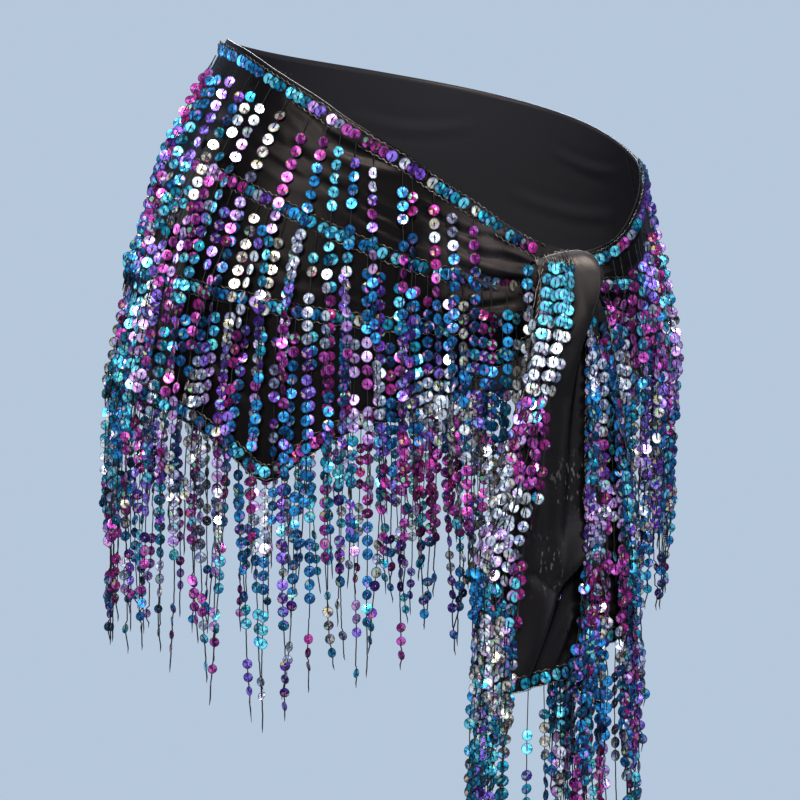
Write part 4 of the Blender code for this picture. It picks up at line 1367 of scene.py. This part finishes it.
# hue of each disc along a band
def bandHues(key, places, shift):
    table = bandColours.get(key, bandColours["other"])
    count = len(places)
    blurred = (places + shift) % 1.0 + random.normal(0, band["blur"], count)
    found = np.searchsorted([start for start, _ in table], blurred, "right") - 1
    numbers = np.array([families.index(family) for _, family in table])
    family = numbers[np.clip(found, 0, len(table) - 1)]
    other = random.integers(0, len(families) - 1, count)
    family = np.where(random.random(count) < band["stray"], other, family)
    return family * 2 + (random.random(count) < band["deep"])


# discs with a stitch over each one, crossed threads in the gaps, and the two chains
def makeBand(place, path, normal, key, shift=0.0, discsFrom=0.0, extra=None, lit=1.0,
             discLean=band["lean"]):
    run = runLength(path)
    places, gaps = bandPlaces(run[-1])
    centres, face, ahead, down = bandFrame(path, normal, run, places)
    lean = np.radians(discLean + random.normal(0, band["leanStray"], len(places)))
    rock = np.radians(random.normal(0, band["rockStray"], len(places)))
    across, facing = turnPair(ahead, face, -lean)
    upward, facing = turnPair(-down, facing, rock)
    raised = band["above"] + band["discAbove"]
    raised = raised + band["leaningAbove"] * max(0.0, -np.sin(np.radians(discLean)))
    centres = centres + face * raised
    kept = places >= discsFrom
    hue = bandHues(key, places / run[-1], shift)
    discs = discMesh(*(part[kept] for part in (centres, across, upward, facing, hue)),
                     random.integers(0, film["variations"], kept.sum()),
                     np.full(kept.sum(), band["size"]))
    behind = centres - face * band["stitchDeep"]
    stitches = np.stack([behind + down * band["half"], centres + facing * band["stitchOver"],
                         behind - down * band["half"]], 1)
    middle, out, along, lower = bandFrame(path, normal, run, gaps)
    ends, lower = middle + out * band["crossEnds"], lower * band["half"]
    crosses = [np.stack([ends + reach + lower, middle + out * band["crossMiddle"],
                         ends - reach - lower], 1)
               for reach in (-along * band["crossing"], along * band["crossing"])]
    tubes = [(tubeMesh(np.concatenate([stitches, *crosses]), band["threadRadius"], 3,
                       np.concatenate([face, out, out])[:, None] + np.zeros((1, 3, 1))), 1)]
    tubes += bandChains(path, normal, run, lit)
    if extra is not None:
        tubes.append((tubeMesh(extra, band["chainRadius"], 3, np.array([0.0, -1.0, 0.01])), 2))
    return makeTrim(f"sequins_{place}", f"band_{place}", discs, tubes,
                    [bandFilm, thread, chain])


for stretch, (start, stop) in bandStretches.items():
    for row in (1, 2, 3, 4):
        angle = np.linspace(start, stop, 400)
        height = rowHeight(row, angle)
        out = cloth["out"] + cloth["wall"] + band["onCloth"] + clothLift(angle, height)
        shift = 0.0 if (row, stretch) in bandColours else 0.23 * row
        makeBand(
            f"row{row}_{stretch}", onHip(angle, height, out), outward(angle, height),
            (row, stretch), shift,
            # rows 2 and 3 in front lose the light chain yarn near the knot: painted shade
            lit=band["litChainShareByKnot"] if stretch == "front" and row in (2, 3) else 1.0,
            discLean=band["leftLean" if stretch == "left" else "lean"])

# the left band of the front tail starts across its top, where the tail passes over the knot
topRun = {"place": [0.0, 1.0, 2.0, 3.0, 4.0], "angle": [23.0, 20.6, 18.6, 17.5, 17.0],
          "height": [-66.0, -66.8, -68.8, -73.0, -79.0], "bareFor": 24.0}
loose = {"loops": 9, "from": 16.8, "to": 23.0, "loopTop": -64.5, "loopStray": 0.6,
         "loopSlant": 0.7, "loopDrop": (5.0, 10.0), "loopOut": (2.4, 4.6),
         "insets": (-0.5, 0.1, 0.7, 1.3), "top": -66.0, "length": 120.0, "out": 2.2}
# the highest place that each tail band starts at
bandTops = {("front", "left"): -80, ("front", "right"): -112,
            ("rear", "left"): -104, ("rear", "right"): -104}


# out and the tilt of the face where a tail passes over the knot: the knot's oval, one gap out
def overKnot(height):
    halfHeight, halfDepth = (knot[key] + knot["clear"] for key in ("halfHeight", "halfDepth"))
    turn = np.arcsin(np.clip((height - knot["height"]) / halfHeight, 0, 0.98))
    tilt = np.arctan2(np.sin(turn) / halfHeight, np.cos(turn) / halfDepth)
    return knot["out"] + halfDepth * np.cos(turn), tilt


# where the trim is gathered, its chains run loose: small loops over the top of the tail, and
# long lines down beside the left edge
def gatheredChains():
    t = np.linspace(0, 1, 60)
    lines = []
    spread = (loose["to"] - loose["from"]) / loose["loops"]
    for i in range(loose["loops"]):
        angle = loose["from"] + spread * (i + random.uniform(0, loose["loopStray"]))
        angle = angle + loose["loopSlant"] * t + 0.2 * np.sin(9 * t + i)
        height = loose["loopTop"] - random.uniform(*loose["loopDrop"]) * np.sin(np.pi * t)
        height = height - 2.0 * np.sin(6 * t + i)
        out = overKnot(height)[0] + random.uniform(*loose["loopOut"])
        lines.append(onHip(angle, height, out))
    for i, inset in enumerate(loose["insets"]):
        height = loose["top"] - loose["length"] * t
        angle = readCurve(frontTail["height"], frontTail["left"], height) + inset
        angle = angle + 0.35 * np.sin(height / 7.0 + 2 * i) + 0.15 * np.sin(height / 2.6 + i)
        out = np.where(height > knot["height"], overKnot(height)[0], frontTail["out"])
        lines.append(onHip(angle, height, out + loose["out"] + 0.5 * np.sin(height / 5.0 + i)))
    return np.stack(lines)


# the tails' bands lie on their faces, half a band in from each edge
for side, tail in tailOf.items():
    heights, outs = tailLine(tail, 260)
    left, fold, right, lift = tailEdges(tail, heights)
    inset = band["tailAngle"] / 2
    for edge, middle, end in (("left", left + inset, tail["ends"][0]),
                              ("right", right - inset, tail["ends"][1])):
        use = (heights < bandTops[side, edge]) & (heights > end + 9)
        line, up = middle[use], heights[use][:, None]
        out = outs[use][:, None] + cloth["wall"]
        out = out + tailRelief(tail, line, up, fold[use], lift[use])
        path, face = onHip(line, up, out)[:, 0], outward(line, up)[:, 0]
        discsFrom, extra = 0.0, None
        if (side, edge) == ("front", "left"):
            steps = np.linspace(0, 4, 60)
            angle = readCurve(topRun["place"], topRun["angle"], steps)
            height = readCurve(topRun["place"], topRun["height"], steps)
            out, tilt = overKnot(height)
            first = outward(angle, height) * np.cos(tilt)[:, None]
            first[:, 2] += np.sin(tilt)
            path = np.concatenate([onHip(angle, height, out + cloth["wall"] + 0.4), path])
            face = np.concatenate([first, face])
            discsFrom, extra = topRun["bareFor"], gatheredChains()
        makeBand(f"tail_{side}_{edge}", path, face, (side, edge), 0.0, discsFrom, extra)
    across = np.linspace(0.01, 0.99, 200)
    base = [part[-1, 0] for part in (left, fold, right, lift)]
    line = between(base[0], base[2], across)
    up = between(*tail["ends"], across) + band["endAbove"]
    out = tail["out"] + cloth["wall"] + tailRelief(tail, line, up, base[1], base[3])
    makeBand(f"tail_{side}_end", onHip(line, up, out), outward(line, up), (side, "end"))
print("bands made")


# floor, backdrop and light, in metres
stage = {
    "floor": -0.74, "radius": 60.0, "floorColour": (0.27, 0.29, 0.31, 1), "fade": (0.4, 1.7),
    "seen": (0.468, 0.575, 0.715, 1), "lit": (0.13, 0.18, 0.30, 1),
    "litBehind": (0.24, 0.32, 0.46, 1), "behind": (-0.3, 0.7),
}
# place, size across, watts and colour of each light
lights = {
    "key": ((-1.5, -1.9, 1.35), 1.1, 92.0, (1.0, 0.97, 0.93)),
    "sun": ((0.0, -2.05, 2.3), 0.25, 175.0, (1.0, 0.95, 0.86)),
    "fillFront": ((1.7, -2.0, 0.5), 1.2, 20.0, (0.86, 0.92, 1.0)),
    "low": ((-0.4, -2.6, -0.55), 0.9, 9.0, (0.86, 0.92, 1.0)),
    "top": ((0.2, 0.4, 2.2), 1.6, 24.0, (0.92, 0.96, 1.0)),
    "behind": ((0.9, 2.2, 0.9), 1.2, 40.0, (0.95, 0.97, 1.0)),
    "behindLeft": ((-2.0, 0.9, 0.6), 1.0, 20.0, (0.92, 0.96, 1.0)),
}


# pale floor that turns into the colour of the backdrop far away
def makeFloor():
    turn = np.linspace(0, 2 * np.pi, 64, endpoint=False)
    edge = np.stack([np.cos(turn), np.sin(turn)], 1) * stage["radius"]
    mesh = bpy.data.meshes.new("floor")
    mesh.from_pydata([(x, y, stage["floor"]) for x, y in edge], [], [tuple(range(64))])
    material, tree, shader = startMaterial("paleFloor")
    fill(shader, {"Base Color": stage["floorColour"], "Roughness": 0.8})
    fade = mapRange(vectorMath("LENGTH", objectPlace(tree)), *stage["fade"], smooth=True)
    glow = output(tree, "ShaderNodeEmission", {"Color": stage["seen"], "Strength": 1.0})
    mix = output(tree, "ShaderNodeMixShader", {0: fade, 1: Wire(shader.outputs[0]), 2: glow})
    fill(tree.nodes["Material Output"], {"Surface": mix})
    mesh.materials.append(material)
    addThing("floor", mesh)


# the eye sees one pale backdrop; the scarf is lit by a darker room, brighter behind it
def makeWorld():
    world = bpy.data.worlds.new("studio")
    bpy.context.scene.world = world
    world.use_nodes = True
    tree = world.node_tree
    _, behind, _ = splitPlace(output(tree, "ShaderNodeTexCoord", key="Generated"))
    behind = mapRange(behind, *stage["behind"], smooth=True)
    lit = mixColour(behind, stage["lit"], stage["litBehind"])
    seen = output(tree, "ShaderNodeLightPath", key="Is Camera Ray")
    fill(tree.nodes["Background"], {"Color": mixColour(seen, lit, stage["seen"])})


# at its place, turned so that it looks at the target
def aimAt(thing, place, target):
    thing.location = place
    thing.rotation_euler = (Vector(target) - Vector(place)).to_track_quat("-Z", "Y").to_euler()


makeFloor()
makeWorld()
for name, (place, size, watts, colour) in lights.items():
    lamp = bpy.data.lights.new(name, "AREA")
    lamp.shape = "DISK"
    lamp.size = size
    lamp.energy = watts
    lamp.color = colour
    aimAt(addThing(name, lamp), place, (0.0, 0.0, -0.15))

view = {"azimuth": -14.0, "elevation": 3.0, "distance": 1.9, "target": (-0.003, 0.0, -0.156),
        "lens": 136.8}
turn, rise = np.radians([view["azimuth"], view["elevation"]])
back = np.array([np.sin(turn) * np.cos(rise), -np.cos(turn) * np.cos(rise), np.sin(rise)])
lens = bpy.data.cameras.new("camera")
lens.lens = view["lens"]
lens.sensor_width = 36.0
lens.clip_start = 0.05
camera = addThing("camera", lens)
aimAt(camera, np.array(view["target"]) + back * view["distance"], view["target"])
bpy.context.scene.camera = camera
bpy.context.scene.view_settings.view_transform = "Standard"     # keeps the film's strong colours
print("stage set")

made = [thing for thing in bpy.data.objects if thing.type == "MESH" and not thing.hide_render]
triangles = {thing.name: sum(len(face.vertices) - 2 for face in thing.data.polygons)
             for thing in made}
print("triangles:", sum(triangles.values()), "in all, largest", max(triangles.values()))
